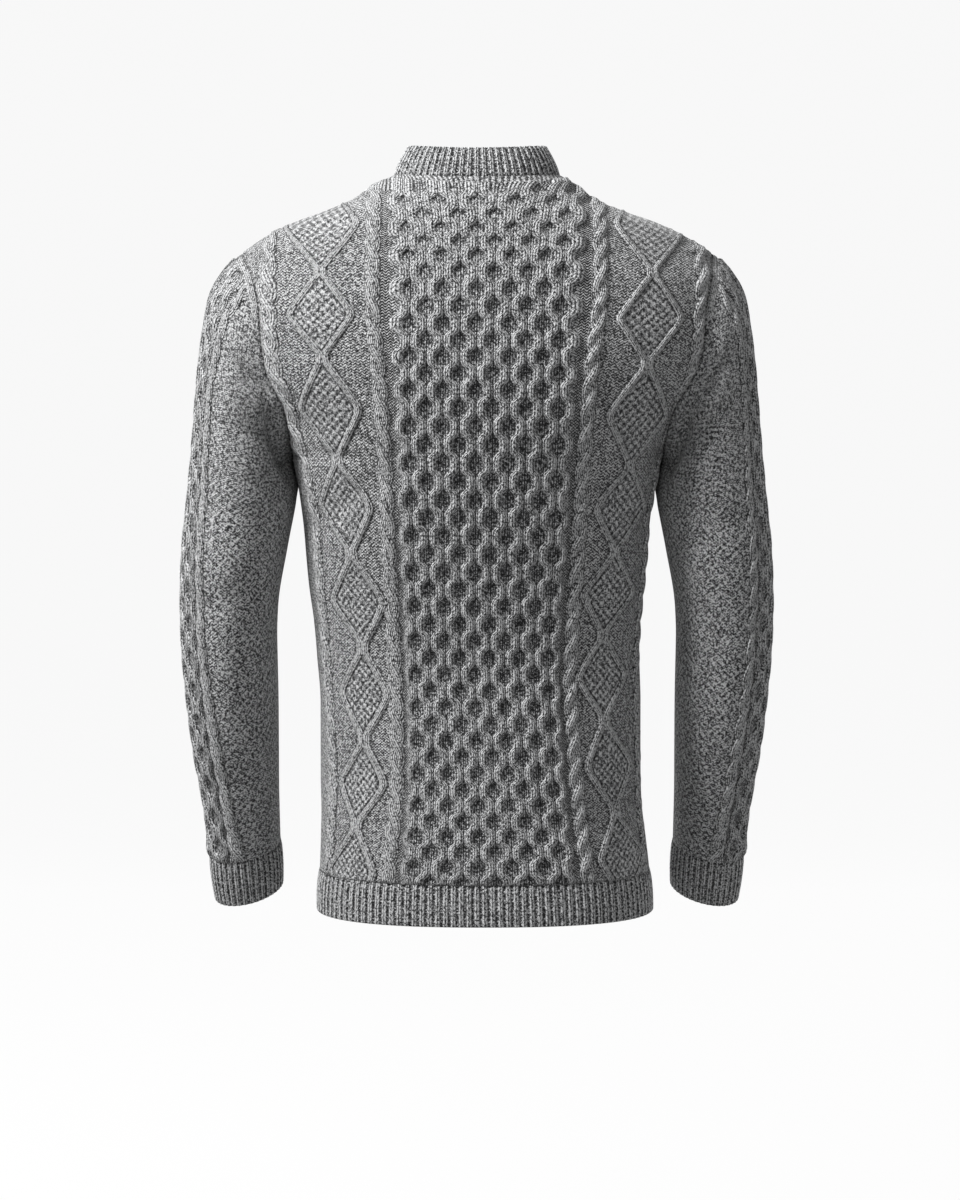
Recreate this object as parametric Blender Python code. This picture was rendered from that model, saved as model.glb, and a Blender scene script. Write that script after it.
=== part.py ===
"""A cable knit crew-neck sweater as worn cloth: nine knitted pieces, each one a closed wall.

Frame: metres, +Z up. The back of the sweater faces +Y and its front -Y, so its left sleeve is at +X.
The origin is the middle of the neck at the height where the shoulder seams meet the collar.
Every piece is a skin surface worked out from short tables of sizes, with its cables, honeycomb, diamonds
and ribs raised on the outside and a plain inside. Sizes in the tables are in millimetres.
"""

import math

import bmesh
import bpy
import numpy as np

MM = 0.001

# Cloth
WALL = 3.0  # ground knit, from its skin to its inside
SEAM_GAP = 0.3
HALF_GAP = SEAM_GAP / 2
SEAM_RELIEF = 0.4  # share of a cable's height that is left where a seam presses it

# Heights of the raised knitting over the ground
HONEYCOMB_ROPE = 2.8
HONEYCOMB_TOUCH = 1.7
ROPE = 3.2
DIAMOND_RIB = 2.6
MOSS = 0.9
RIB_RIDGE = 1.1
RIB_VALLEY = -0.3

# Knit sizes
PANEL_COLUMNS = 10  # honeycomb cells across the back, and across the front
SLEEVE_COLUMNS = 6  # honeycomb cells across a sleeve
SLEEVE_PLAIN_COLUMNS = 5  # steps from a sleeve's rope round to its underarm
SLEEVE_ROWS = 38
ROPE_HALF_WIDTH = 8.5
DIAMOND_RIB_HALF_WIDTH = 3.4
CROSSED_RIBS = 4.0  # from the middle of a crossing to each of its two ribs
SIDE_ROPE_STEP = 8.0  # from a side rope's crest to the ground on either side, round the body
HEM_RIB_PITCH = 7.0
CUFF_RIB_PITCH = 6.2
COLLAR_RIB_PITCH = 7.3
LEAST_STEP = 1.3  # between two neighbouring columns

# Neck
NECK_HALF_WIDTH = 76.0
NECK_POINT_Z = -2.0
BACK_NECK_Z = -6.0
FRONT_NECK_Z = -78.0
NECK_AXIS_Y = -10.0
COLLAR_HEIGHT = 27.0
COLLAR_NARROWING = 0.82
TWIST_ROOM = 2.6  # extra gap under the collar where the neckline turns sharply

# Heights
SHOULDER_Z = -74.0
UNDERARM_Z = -263.3
HEM_SEAM_Z = -645.0
HEM_Z = -683.0
SHAPED_ABOVE_Z = -160.0  # above this the rows close up towards the shoulder seams
BUNCHED_STEP = 1.3  # between rows that end at the front neckline

# Sleeves, by the length of their outer line from the shoulder
SLEEVE_SHIFT = 1.4  # both sleeves hang this far to the left
SLEEVE_SEAM_RUN = 580.5
CUFF_RUN = 625.5
CAP_RUN = 150.0  # over this length the armhole's shape eases into the arm's

COLOURS = {
    "body": (0.190, 0.192, 0.197, 1.0),
    "rib": (0.165, 0.167, 0.172, 1.0),
}


def smooth(xs, ys, x):
    """The height at x of a curve that passes through the points and never overshoots them."""
    step = np.diff(xs)
    slope = np.diff(ys) / step
    product = slope[:-1] * slope[1:]
    total = slope[:-1] + slope[1:]
    turning = product <= 0
    middle = np.where(turning, 0.0, 2 * product / np.where(turning, 1.0, total))
    tangent = np.concatenate([slope[:1], middle, slope[-1:]])
    x = np.clip(x, xs[0], xs[-1])
    i = np.clip(np.searchsorted(xs, x, side="right") - 1, 0, len(xs) - 2)
    t = (x - xs[i]) / step[i]
    rise = ys[i] * (1 + 2 * t) * (1 - t) ** 2 + ys[i + 1] * t**2 * (3 - 2 * t)
    return rise + step[i] * (tangent[i] * t * (1 - t) ** 2 + tangent[i + 1] * t**2 * (t - 1))


class Table:
    """Smooth curves through the rows of a table. The first column is what the others depend on."""

    def __init__(self, names, rows):
        grid = np.array(sorted(rows), float)
        self.key = grid[:, 0]
        self.columns = dict(zip(names.split()[1:], grid[:, 1:].T))

    def __call__(self, name, x):
        return smooth(self.key, self.columns[name], x)


# The edge of a panel seen from behind, up the side seam, the armhole and the shoulder seam.
# half is its distance from the middle; back and front say how far the armhole stands off the side.
EDGE = Table(
    "z half back front",
    [
        (-683, 156.5, 0, 0),
        (-645, 154.0, 0, 0),
        (-615, 151.7, 0, 0),
        (-581, 149.5, 0, 0),
        (-488, 149.0, 0, 0),
        (-442, 150.0, 0, 0),
        (-414, 151.5, 0, 0),
        (-377, 155.8, 0, 0),
        (-321, 160.8, 0, 0),
        (-286, 165.3, 0, 0),
        (-263.3, 169.6, 0, 0),
        (-247, 171.0, 27, -25),
        (-228, 174.5, 44, -41),
        (-213, 178.5, 55, -51),
        (-191, 190.5, 62, -57),
        (-178, 196, 63, -58),
        (-150, 201, 62, -56),
        (-125, 202.5, 55, -47),
        (-100, 208, 38, -32),
        (-85, 212.5, 19, -16),
        (-74, 216, 0, 0),
        (-66, 206, 0, 0),
        (-56, 190, 0, 0),
        (-45, 167, 0, 0),
        (-36, 142, 0, 0),
        (-24, 113, 0, 0),
        (-7, 87, 0, 0),
        (-2, 76, 0, 0),
    ],
)

# The side view: how far the middle of the back and of the front stand from the side seams.
PROFILE = Table(
    "z back front",
    [
        (-683, 107, -115),
        (-630, 103.5, -114),
        (-575, 97, -112),
        (-516, 90, -111),
        (-456, 87, -113),
        (-394, 92, -119),
        (-329, 102, -127),
        (-263, 112, -130),
        (-200, 117.3, -125),
        (-170, 117, -119),
        (-133, 113.5, -109),
        (-98, 107.5, -95),
        (-70, 99.5, -84),
        (-44, 90, -73),
        (-24, 79, -66),
        (-2, 60, -56),
    ],
)

# How square the body is across: 1 - share ** square, to the power round. Reach is the part of that
# curve which a panel takes, up to where a sleeve carries it on.
ROUNDNESS = Table(
    "z square round reach",
    [
        (-683, 2.4, 0.42, 1),
        (-263.3, 2.3, 0.435, 1),
        (-215, 2.3, 0.45, 0.94),
        (-165, 2.3, 0.48, 0.90),
        (-120, 2.2, 0.55, 0.93),
        (-90, 2.1, 0.65, 0.98),
        (-74, 2.0, 0.70, 1),
        (-30, 2.0, 0.68, 1),
        (-2, 2.0, 0.60, 1),
    ],
)

# The body hangs a little to one side, and the middle of the knitting lies beside the middle of the body.
MIDDLE = Table(
    "z body knitting",
    [
        (-683, -6.5, -9),
        (-645, -6.0, -9),
        (-549, -2.3, -7.5),
        (-488, -2.3, -5.5),
        (-442, 0, -4),
        (-377, 1.4, -4.5),
        (-262, 1.4, -5.5),
        (-213, -1.0, -5.9),
        (-150, -4.0, -6.5),
        (-100, -4.0, -7.6),
        (-72, 0.5, -8),
        (-2, -1, -8),
    ],
)

# Honeycomb: the height of each cell of the middle columns, by its number from the neck down.
CELLS = Table(
    "number z",
    [
        (-0.5, -20.5),
        (0, -30.0),
        (1, -54.5),
        (2, -79.0),
        (3, -108.5),
        (4, -139.5),
        (6, -198.4),
        (8, -263.3),
        (10, -329.4),
        (12, -393.8),
        (14, -455.9),
        (16, -516.0),
        (18, -574.5),
        (20, -630.0),
        (20.5, -645.0),
    ],
)
LAST_CELL = 20.5

# Where the knitting lies across a panel, from the middle of the knitting.
# cell is one honeycomb column, half half the width of a diamond, line the ground beside the side rope.
LAYOUT = Table(
    "z cell rope diamond half line",
    [
        (-645, 14.9, 91.0, 125.0, 19.0, 142.0),
        (-590, 14.0, 85.0, 118.8, 19.0, 138.0),
        (-553, 13.5, 81.5, 113.5, 19.0, 136.0),
        (-509, 13.3, 79.5, 109.7, 19.5, 136.0),
        (-472, 13.2, 79.0, 108.0, 20.0, 136.5),
        (-427, 13.3, 80.5, 108.9, 21.0, 139.0),
        (-390, 13.5, 82.0, 113.0, 21.7, 142.0),
        (-345, 13.9, 85.0, 119.3, 21.5, 146.0),
        (-301, 14.2, 87.0, 125.5, 21.5, 151.0),
        (-262, 14.5, 89.0, 132.0, 23.0, 158.0),
        (-212, 14.7, 92.0, 139.0, 25.0, 170.0),
        (-170, 14.8, 96.0, 145.3, 26.0, 183.0),
        (-119, 14.9, 101.5, 148.5, 26.7, 187.5),
        (-60, 15.6, 102.0, 150.5, 27.0, 190.0),
        (-20, 16.4, 102.0, 152.0, 27.0, 190.0),
    ],
)

# Heights where the two ribs of a diamond panel cross, on the left and the right half of a panel.
CROSSINGS = {
    +1: (-4, -86.3, -168.3, -260.7, -346, -432, -517, -594.6, -680),
    -1: (-2, -85.5, -174, -266.5, -344.4, -420.9, -498.6, -583.3, -668),
}

# The left sleeve. run follows its outer line from the shoulder; each ring goes from its outer point
# to its inner one, lies about centre_y and is depth wide each way, with its back lower by drop.
SLEEVE = Table(
    "run outer_x outer_z inner_x inner_z centre_y depth drop",
    [
        (0, 216, -74, 169.6, -263.3, 0, 61, 0),
        (24, 234, -89.5, 170.6, -266, 0, 62, 0),
        (50, 247, -112, 170.8, -269, 0, 62.5, 0),
        (80, 253, -142, 170.6, -272.5, 0, 63, 0),
        (114, 257.5, -175, 170.2, -277, 0, 63, 0),
        (154, 261, -215, 169.6, -283, 0, 63, 0),
        (193, 264.3, -254, 169.2, -290.5, 0, 62.5, 0),
        (237, 268.6, -298, 169.6, -303, 1, 62, 1),
        (289, 274, -350, 176.5, -347, 1, 60, 2),
        (344, 276, -404.5, 184.8, -400, -3, 56.5, 4),
        (372.5, 275.6, -433, 186, -429, -7, 54.5, 7),
        (424, 272.5, -484, 185.7, -480, -16, 51, 9),
        (480, 267, -540, 186.3, -535, -29, 47, 10),
        (528, 260, -588, 187, -582, -42, 43, 10),
        (580.5, 254, -640, 186.8, -628, -54.5, 38.5, 8.5),
        (625.5, 249.5, -685, 186, -672, -67, 36, 8),
    ],
)

# The knitting round a sleeve, as angles from its outer line.
SLEEVE_LAYOUT = Table(
    "run honeycomb rope_end",
    [
        (0, 36, 52),
        (114, 38, 54),
        (237, 41, 58),
        (344, 47, 66),
        (424, 52, 74),
        (528, 59, 87),
        (580.5, 63, 98),
    ],
)


def unit(vectors):
    return vectors / np.linalg.norm(vectors, axis=-1, keepdims=True)


def ease(t):
    """0 to 1 with no corner at either end."""
    t = np.clip(t, 0.0, 1.0)
    return t * t * (3 - 2 * t)


# Skin of the body


def half_slice(z, face):
    """Half of a level slice of the skin: its distances from the middle, its y and its length so far."""
    half = EDGE("half", z)
    edge_y = EDGE(face, z)
    middle_y = PROFILE(face, z)
    square = ROUNDNESS("square", z)
    power = ROUNDNESS("round", z)
    reach = ROUNDNESS("reach", z)
    share = np.sin(np.linspace(0, math.pi / 2, 161))
    curve = np.clip(1 - (share * reach) ** square, 0, 1) ** power
    end = curve[-1]
    x = half * share
    y = edge_y + (middle_y - edge_y) * (curve - end) / (1 - end)
    length = np.concatenate([[0], np.cumsum(np.hypot(np.diff(x), np.diff(y)))])
    return x, y, length


def skin_point(side, x, z, face):
    """The skin at x from the middle of the body, on its left (+1) or right (-1)."""
    xs, ys, _ = half_slice(z, face)
    return (MIDDLE("body", z) + side * x, float(np.interp(x, xs, ys)), z)


def seam_height(x):
    """The height of the shoulder seam at this distance from the middle."""
    seam = EDGE.key >= SHOULDER_Z
    return float(np.interp(x, EDGE.columns["half"][seam][::-1], EDGE.key[seam][::-1]))


def neckline_height(x, face):
    across = min(x / NECK_HALF_WIDTH, 1.0)
    if face == "back":
        return BACK_NECK_Z + (NECK_POINT_Z - BACK_NECK_Z) * across**2
    return NECK_POINT_Z + (FRONT_NECK_Z - NECK_POINT_Z) * (1 - across**2) ** 0.6


def diamond_share(z, side):
    """0 where the ribs of a diamond panel cross, 1 where they are furthest apart."""
    crossings = np.array(CROSSINGS[side][::-1], float)
    return 1 - abs(2 * (np.interp(z, crossings, np.arange(len(crossings))) % 1) - 1)


# The columns of one half of a panel, from the middle outwards, and how high each stands
def column_names():
    names = [f"cell{i}" for i in range(1, PANEL_COLUMNS + 1)]
    names += ["rope_in", "rope", "rope_out"]
    names += ["diamond_in", "rib_in", "moss", "rib_out", "diamond_out"]
    names += ["side_in", "side_rope", "side_out", "edge"]
    return names


NAMES = column_names()


def column_places(side, z, face):
    """The distance of each column from the middle of the body, at this height."""
    xs, _, lengths = half_slice(z, face)
    shift = side * (MIDDLE("knitting", z) - MIDDLE("body", z))
    rope = LAYOUT("rope", z)
    diamond = LAYOUT("diamond", z)
    spread = max(CROSSED_RIBS, LAYOUT("half", z) * diamond_share(z, side))
    room = diamond - rope - ROPE_HALF_WIDTH - DIAMOND_RIB_HALF_WIDTH - LEAST_STEP
    spread = min(spread, room)
    across = [i * LAYOUT("cell", z) / 2 for i in range(1, PANEL_COLUMNS + 1)]
    across += [rope - ROPE_HALF_WIDTH, rope, rope + ROPE_HALF_WIDTH]
    across += [diamond - spread - DIAMOND_RIB_HALF_WIDTH, diamond - spread, diamond]
    across += [diamond + spread, diamond + spread + DIAMOND_RIB_HALF_WIDTH]
    around = list(np.interp(np.array(across) + shift, xs, lengths))
    line = float(np.interp(LAYOUT("line", z) + shift, xs, lengths))
    left_over = lengths[-1] - line
    around += [line, line + min(SIDE_ROPE_STEP, 0.45 * left_over)]
    around += [line + min(2 * SIDE_ROPE_STEP, 0.88 * left_over), lengths[-1]]
    for i in range(1, len(around)):
        around[i] = max(around[i], around[i - 1] + LEAST_STEP)
    for i in range(len(around) - 2, -1, -1):
        around[i] = min(around[i], around[i + 1] - LEAST_STEP)
    return np.interp(around, lengths, xs)


def panel_rows():
    """Heights of the rows of a panel at its middle, from the neck down: two for each honeycomb cell."""
    numbers = np.arange(-0.5, LAST_CELL + 0.25, 0.5)
    return np.concatenate([[BACK_NECK_Z], CELLS("z", numbers)])


ROWS = panel_rows()
WHOLE_Z = SHOULDER_Z - 8.0  # the highest level that crosses every column
WHOLE_PLACES = {side: column_places(side, WHOLE_Z, "back") for side in (1, -1)}


def column_place(side, i, z, face):
    """The distance of one column from the middle of the body. Above the armholes it runs straight up."""
    if i < PANEL_COLUMNS:
        shift = side * (MIDDLE("knitting", z) - MIDDLE("body", z))
        return (i + 1) * LAYOUT("cell", z) / 2 + shift
    if z > WHOLE_Z:
        return WHOLE_PLACES[side][i]
    return column_places(side, z, face)[i]


def neck_column(side):
    """The column that ends at the neck point."""
    places = [column_place(side, i, NECK_POINT_Z, "back") for i in range(PANEL_COLUMNS)]
    return int(np.argmin(abs(np.array(places) - NECK_HALF_WIDTH)))


def drawn_to_neck(side, i, x, z):
    """The neck point's column runs up to it, and the next one leans half as far, so that the neckline's
    short curve there has a point of its own."""
    pull = {0: 1.0, 1: 0.5}.get(neck_column(side) - i, 0.0)
    return x + pull * ease(2 - 2 * z / SHAPED_ABOVE_Z) * (NECK_HALF_WIDTH - x)


def column_top(side, i, face):
    """Where column i of this half ends, on the neckline or on the shoulder seam."""
    if i == neck_column(side):
        return NECK_HALF_WIDTH, NECK_POINT_Z
    if i == len(NAMES) - 1:
        return EDGE("half", SHOULDER_Z), SHOULDER_Z
    x = column_place(side, i, NECK_POINT_Z, face)
    if x > NECK_HALF_WIDTH:
        return x, seam_height(x)
    for _ in range(12):
        z = neckline_height(x, face)
        x = drawn_to_neck(side, i, column_place(side, i, z, face), z)
    return x, neckline_height(x, face)


def row_height(row, top_z):
    """The height of a row in a column that ends at top_z. Rows above the end bunch up below it."""
    nominal = ROWS[row]
    if nominal <= SHAPED_ABOVE_Z:
        return nominal
    if top_z < ROWS[0] - 1 and row:
        shaped = (top_z - SHAPED_ABOVE_Z) / (ROWS[0] - SHAPED_ABOVE_Z)
        return SHAPED_ABOVE_Z + (nominal - SHAPED_ABOVE_Z) * shaped
    return min(nominal, top_z - BUNCHED_STEP * row)


def half_panel(side, face):
    """Skin points of one half, a list of rows from the top, each from the middle outwards."""
    rows = []
    for row in range(len(ROWS)):
        points = []
        for i in range(len(NAMES)):
            top_x, top_z = column_top(side, i, face)
            z = row_height(row, top_z)
            if face == "front" and i <= neck_column(side) and ROWS[row] > SHAPED_ABOVE_Z:
                z = min(ROWS[row], top_z - BUNCHED_STEP * row)
            x = column_place(side, i, z, face) if row else top_x
            if i == len(NAMES) - 1:
                x = EDGE("half", z)
            x = drawn_to_neck(side, i, x, z) if row else x
            z = z if row else top_z
            x = min(x, EDGE("half", z))
            points.append(skin_point(side, x, z, face))
        rows.append(points)
    return np.array(rows)


def middle_column(face):
    rows = []
    for row in range(len(ROWS)):
        top_z = neckline_height(0.0, face)
        z = min(ROWS[row], top_z - BUNCHED_STEP * row)
        shift = MIDDLE("knitting", z) - MIDDLE("body", z)
        rows.append(skin_point(math.copysign(1, shift), abs(shift), z, face))
    return np.array(rows)[:, None]


def grid_normals(points, outward, closed=False):
    """The direction out of the cloth at each point of a grid. outward gives a rough direction."""
    if closed:
        wrapped = np.concatenate([points[:, -1:], points, points[:, :1]], axis=1)
        along = np.gradient(wrapped, axis=1)[:, 1:-1]
    else:
        along = np.gradient(points, axis=1)
    normals = unit(np.cross(along, np.gradient(points, axis=0)))
    flip = np.sign(np.sum(normals * outward, axis=-1, keepdims=True))
    return normals * np.where(flip == 0, 1, flip)


def honeycomb_height(i, row, side):
    """Columns alternate between the ropes, which stay high, and the cells between them."""
    if i % 2 == 0:
        return HONEYCOMB_ROPE
    left_of_rope = (i // 2 + (0 if side > 0 else 1)) % 2
    return 0.0 if (row + left_of_rope) % 2 == 0 else HONEYCOMB_TOUCH


COLUMN_HEIGHTS = {
    "rope": ROPE,
    "rib_in": DIAMOND_RIB,
    "rib_out": DIAMOND_RIB,
    "moss": MOSS,
    "side_rope": ROPE,
}


def panel_relief(face):
    """How far each point of a panel stands over the ground."""
    heights = np.zeros((len(ROWS), 2 * len(NAMES) + 1))
    for row in range(len(ROWS)):
        for side in (1, -1):
            for i, name in enumerate(NAMES):
                height = COLUMN_HEIGHTS.get(name, 0.0)
                if name.startswith("cell"):
                    height = honeycomb_height(i + 1, row, side)
                heights[row, len(NAMES) + side * (i + 1)] = height
        heights[row, len(NAMES)] = HONEYCOMB_ROPE
    if face == "front":
        bunched = ROWS > FRONT_NECK_Z - BUNCHED_STEP * 4
        inner = abs(np.arange(heights.shape[1]) - len(NAMES)) <= PANEL_COLUMNS
        heights[np.ix_(bunched, inner)] = HONEYCOMB_TOUCH
    return heights


class Panel:
    """A panel's skin as a grid, from its right edge to its left and from its top row down."""

    def __init__(self, face):
        self.face = face
        self.sign = 1 if face == "back" else -1
        left = half_panel(1, face)
        right = half_panel(-1, face)
        self.points = np.concatenate([right[:, ::-1], middle_column(face), left], axis=1)
        outward = self.points * (1, 1, 0) + (0, 20 * self.sign, 60)
        self.normals = grid_normals(self.points, outward)
        self.relief = panel_relief(face)
        middle = len(NAMES)
        self.neck = (middle - 1 - neck_column(-1), middle + 1 + neck_column(1))
        self.underarm = int(np.argmin(abs(ROWS - UNDERARM_Z)))

    def armhole(self, side):
        """Indices of the armhole's points, from the shoulder down to the underarm."""
        column = self.points.shape[1] - 1 if side > 0 else 0
        return [(row, column) for row in range(self.underarm + 1)]

    def neckline(self):
        return [(0, column) for column in range(self.neck[0], self.neck[1] + 1)]


# Skin of a sleeve


def sleeve_ring(side, run):
    """A ring's centre, the vector to its outer point and the vector to its back point."""
    outer = np.array([SLEEVE("outer_x", run), 0, SLEEVE("outer_z", run)])
    inner = np.array([SLEEVE("inner_x", run), 0, SLEEVE("inner_z", run)])
    across = (outer - inner) / 2 * (side, 1, 1)
    centre = (outer + inner) / 2 * (side, 1, 1)
    centre += (SLEEVE_SHIFT, SLEEVE("centre_y", run), 0)
    deep = np.array([0, SLEEVE("depth", run), -SLEEVE("drop", run)])
    return centre, across, deep


def armhole_point(side, angle):
    middle_z = (SHOULDER_Z + UNDERARM_Z) / 2
    z = middle_z + math.cos(angle) * (SHOULDER_Z - UNDERARM_Z) / 2
    face = "back" if math.sin(angle) >= 0 else "front"
    return np.array([MIDDLE("body", z) + side * EDGE("half", z), EDGE(face, z), z])


def sleeve_point(side, angle, run):
    """The skin of a sleeve. The angle is 0 at its outer line and a quarter turn at its back."""
    centre, across, deep = sleeve_ring(side, run)
    point = centre + across * math.cos(angle) + deep * math.sin(angle)
    centre, across, deep = sleeve_ring(side, 0)
    plain = centre + across * math.cos(angle) + deep * math.sin(angle)
    return point + (armhole_point(side, angle) - plain) * (1 - ease(run / CAP_RUN))


def sleeve_normal(side, angle, run):
    step = 0.02
    around = sleeve_point(side, angle + step, run) - sleeve_point(side, angle - step, run)
    along = sleeve_point(side, angle, run + 4) - sleeve_point(side, angle, run)
    return side * unit(np.cross(along, around))


def sleeve_angles(run):
    """The angles of a sleeve's columns and the height of the knitting on each, once round."""
    honeycomb = math.radians(SLEEVE_LAYOUT("honeycomb", run))
    rope_end = math.radians(SLEEVE_LAYOUT("rope_end", run))
    rope_start = honeycomb + 0.2 * (rope_end - honeycomb)
    half = [honeycomb * i / SLEEVE_COLUMNS for i in range(1, SLEEVE_COLUMNS + 1)]
    half += [rope_start, (rope_start + rope_end) / 2, rope_end]
    plain = np.arange(1, SLEEVE_PLAIN_COLUMNS) / SLEEVE_PLAIN_COLUMNS
    half += [rope_end + (math.pi - rope_end) * share for share in plain]
    return np.array([0.0] + half + [math.pi] + [2 * math.pi - a for a in half[::-1]])


def sleeve_relief(row):
    kinds = [0.0] * (SLEEVE_COLUMNS + SLEEVE_PLAIN_COLUMNS + 4)
    kinds[0] = HONEYCOMB_ROPE
    for i in range(1, SLEEVE_COLUMNS + 1):
        kinds[i] = HONEYCOMB_ROPE
        if i % 2:
            kinds[i] = HONEYCOMB_TOUCH if (row + i // 2) % 2 else 0.0
    kinds[SLEEVE_COLUMNS + 2] = ROPE
    return kinds + kinds[-2:0:-1]


def other_side_relief(row):
    """The same, with the cells on the front half of the sleeve half a cell lower than on its back."""
    heights = np.array(sleeve_relief(row))
    count = len(heights)
    for i in range(1, SLEEVE_COLUMNS + 1, 2):
        heights[count - i] = HONEYCOMB_TOUCH if (row + i // 2) % 2 == 0 else 0.0
    return heights


# Solids


class Faces:
    """Points and triangles of one closed piece."""

    def __init__(self):
        self.points = []
        self.triangles = []

    def add(self, points):
        """Takes an array of points and returns their numbers in the same shape."""
        flat = np.asarray(points, float).reshape(-1, 3)
        first = len(self.points)
        self.points += flat.tolist()
        return np.arange(first, first + len(flat)).reshape(np.shape(points)[:-1])

    def quad(self, a, b, c, d, heights):
        """Two triangles that share the higher of the two diagonals."""
        if heights[0] + heights[2] >= heights[1] + heights[3]:
            self.triangles += [(a, b, c), (a, c, d)]
        else:
            self.triangles += [(a, b, d), (b, c, d)]

    def grid(self, ids, heights, closed=False):
        """Covers a grid of points, and joins its last column to its first where it is closed."""
        rows, columns = ids.shape
        for r in range(rows - 1):
            for c in range(columns if closed else columns - 1):
                n = (c + 1) % columns
                corners = ((r, c), (r, n), (r + 1, n), (r + 1, c))
                self.quad(*(ids[k] for k in corners), [heights[k] for k in corners])

    def strip(self, first, second, first_places=None, second_places=None):
        """Triangles between two lines of points, whose numbers may differ."""
        if first_places is None:
            first_places = np.linspace(0, 1, len(first))
        if second_places is None:
            second_places = np.linspace(0, 1, len(second))
        i = j = 0
        while i < len(first) - 1 or j < len(second) - 1:
            last_j = j == len(second) - 1
            if last_j or (i < len(first) - 1 and first_places[i + 1] <= second_places[j + 1]):
                self.triangles.append((first[i], first[i + 1], second[j]))
                i += 1
            else:
                self.triangles.append((first[i], second[j + 1], second[j]))
                j += 1

    def ring_strip(self, first, second, first_places, second_places):
        """The same round two closed loops. The places run from 0 up to less than 1."""
        self.strip(
            list(first) + [first[0]],
            list(second) + [second[0]],
            list(first_places) + [1.0],
            list(second_places) + [1.0],
        )


def material(name, kind):
    found = bpy.data.materials.get(name)
    if found:
        return found
    made = bpy.data.materials.new(name)
    made.use_nodes = True
    shader = made.node_tree.nodes["Principled BSDF"]
    shader.inputs["Base Color"].default_value = COLOURS[kind]
    shader.inputs["Roughness"].default_value = 0.95
    shader.inputs["Metallic"].default_value = 0.0
    shader.inputs["Sheen Weight"].default_value = 0.3
    return made


def add_object(name, faces, kind, collection):
    """Makes one closed object with its faces pointing out."""
    mesh = bmesh.new()
    verts = [mesh.verts.new(np.array(point) * MM) for point in faces.points]
    for triangle in faces.triangles:
        mesh.faces.new([verts[i] for i in triangle])
    bmesh.ops.recalc_face_normals(mesh, faces=mesh.faces)
    data = bpy.data.meshes.new(name)
    mesh.to_mesh(data)
    mesh.free()
    data.shade_smooth()
    data.materials.append(material(f"{name}_wool", kind))
    made = bpy.data.objects.new(name, data)
    collection.objects.link(made)


def seam_frames(points, first, second, toward):
    """For the points of a closed seam between two skins: the direction out of the cloth that both
    pieces share, and the direction across the seam, from the first piece to the second."""
    tangent = unit(np.roll(points, -1, axis=0) - np.roll(points, 1, axis=0))
    out = unit(first + second + 1e-6)
    out = unit(out - tangent * np.sum(out * tangent, axis=1, keepdims=True))
    across = np.cross(tangent, out)
    return out, across * np.sign(np.sum(across * toward, axis=1, keepdims=True))


def armhole_seam(side, back, front):
    """The armhole as one loop, from the shoulder down the back and up the front."""
    down = [back.points[k] for k in back.armhole(side)]
    up = [front.points[k] for k in front.armhole(side)][-2:0:-1]
    points = np.array(down + up)
    body = np.array(
        [back.normals[k] for k in back.armhole(side)]
        + [front.normals[k] for k in front.armhole(side)][-2:0:-1]
    )
    ends = (0, len(down) - 1)
    for end in ends:
        points[end, 1] = 0.0
        body[end] = unit(body[end] * (1, 0, 1))
    half = (SHOULDER_Z - UNDERARM_Z) / 2
    lift = np.clip((points[:, 2] - (SHOULDER_Z + UNDERARM_Z) / 2) / half, -1, 1)
    angles = np.arccos(lift)
    angles[len(down) :] = 2 * math.pi - angles[len(down) :]
    sleeve = np.array([sleeve_normal(side, angle, 0) for angle in angles])
    for end in ends:
        sleeve[end] = unit(sleeve[end] * (1, 0, 1))
    out, across = seam_frames(points, body, sleeve, np.array([side, 0, 0]))
    return {"points": points, "angles": angles, "out": out, "across": across}


def collar_top(point):
    """The point of the collar's upper edge over a point of the neckline."""
    x, y, z = point
    return np.array(
        [x * COLLAR_NARROWING, NECK_AXIS_Y + (y - NECK_AXIS_Y) * COLLAR_NARROWING, z + COLLAR_HEIGHT]
    )


def neck_seam(back, front):
    """The neckline as one loop, along the back from right to left and along the front."""
    along = [back.points[k] for k in back.neckline()]
    home = [front.points[k] for k in front.neckline()][-2:0:-1]
    points = np.array(along + home)
    body = np.array(
        [back.normals[k] for k in back.neckline()]
        + [front.normals[k] for k in front.neckline()][-2:0:-1]
    )
    ends = (0, len(along) - 1)
    for end in ends:
        points[end, 1] = 0.0
    up = unit(np.array([collar_top(point) for point in points]) - points)
    tangent = unit(np.roll(points, -1, axis=0) - np.roll(points, 1, axis=0))
    collar = np.cross(tangent, up)
    away = points - (0, NECK_AXIS_Y, 0)
    collar *= np.sign(np.sum(collar * away * (1, 1, 0), axis=1, keepdims=True))
    out, across = seam_frames(points, body, unit(collar), np.array([0, 0, 1]))
    for end in ends:
        out[end] = unit(out[end] * (1, 0, 1))
        across[end] = unit(across[end] * (1, 0, 1))
    return {"points": points, "out": out, "across": across}


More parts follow.
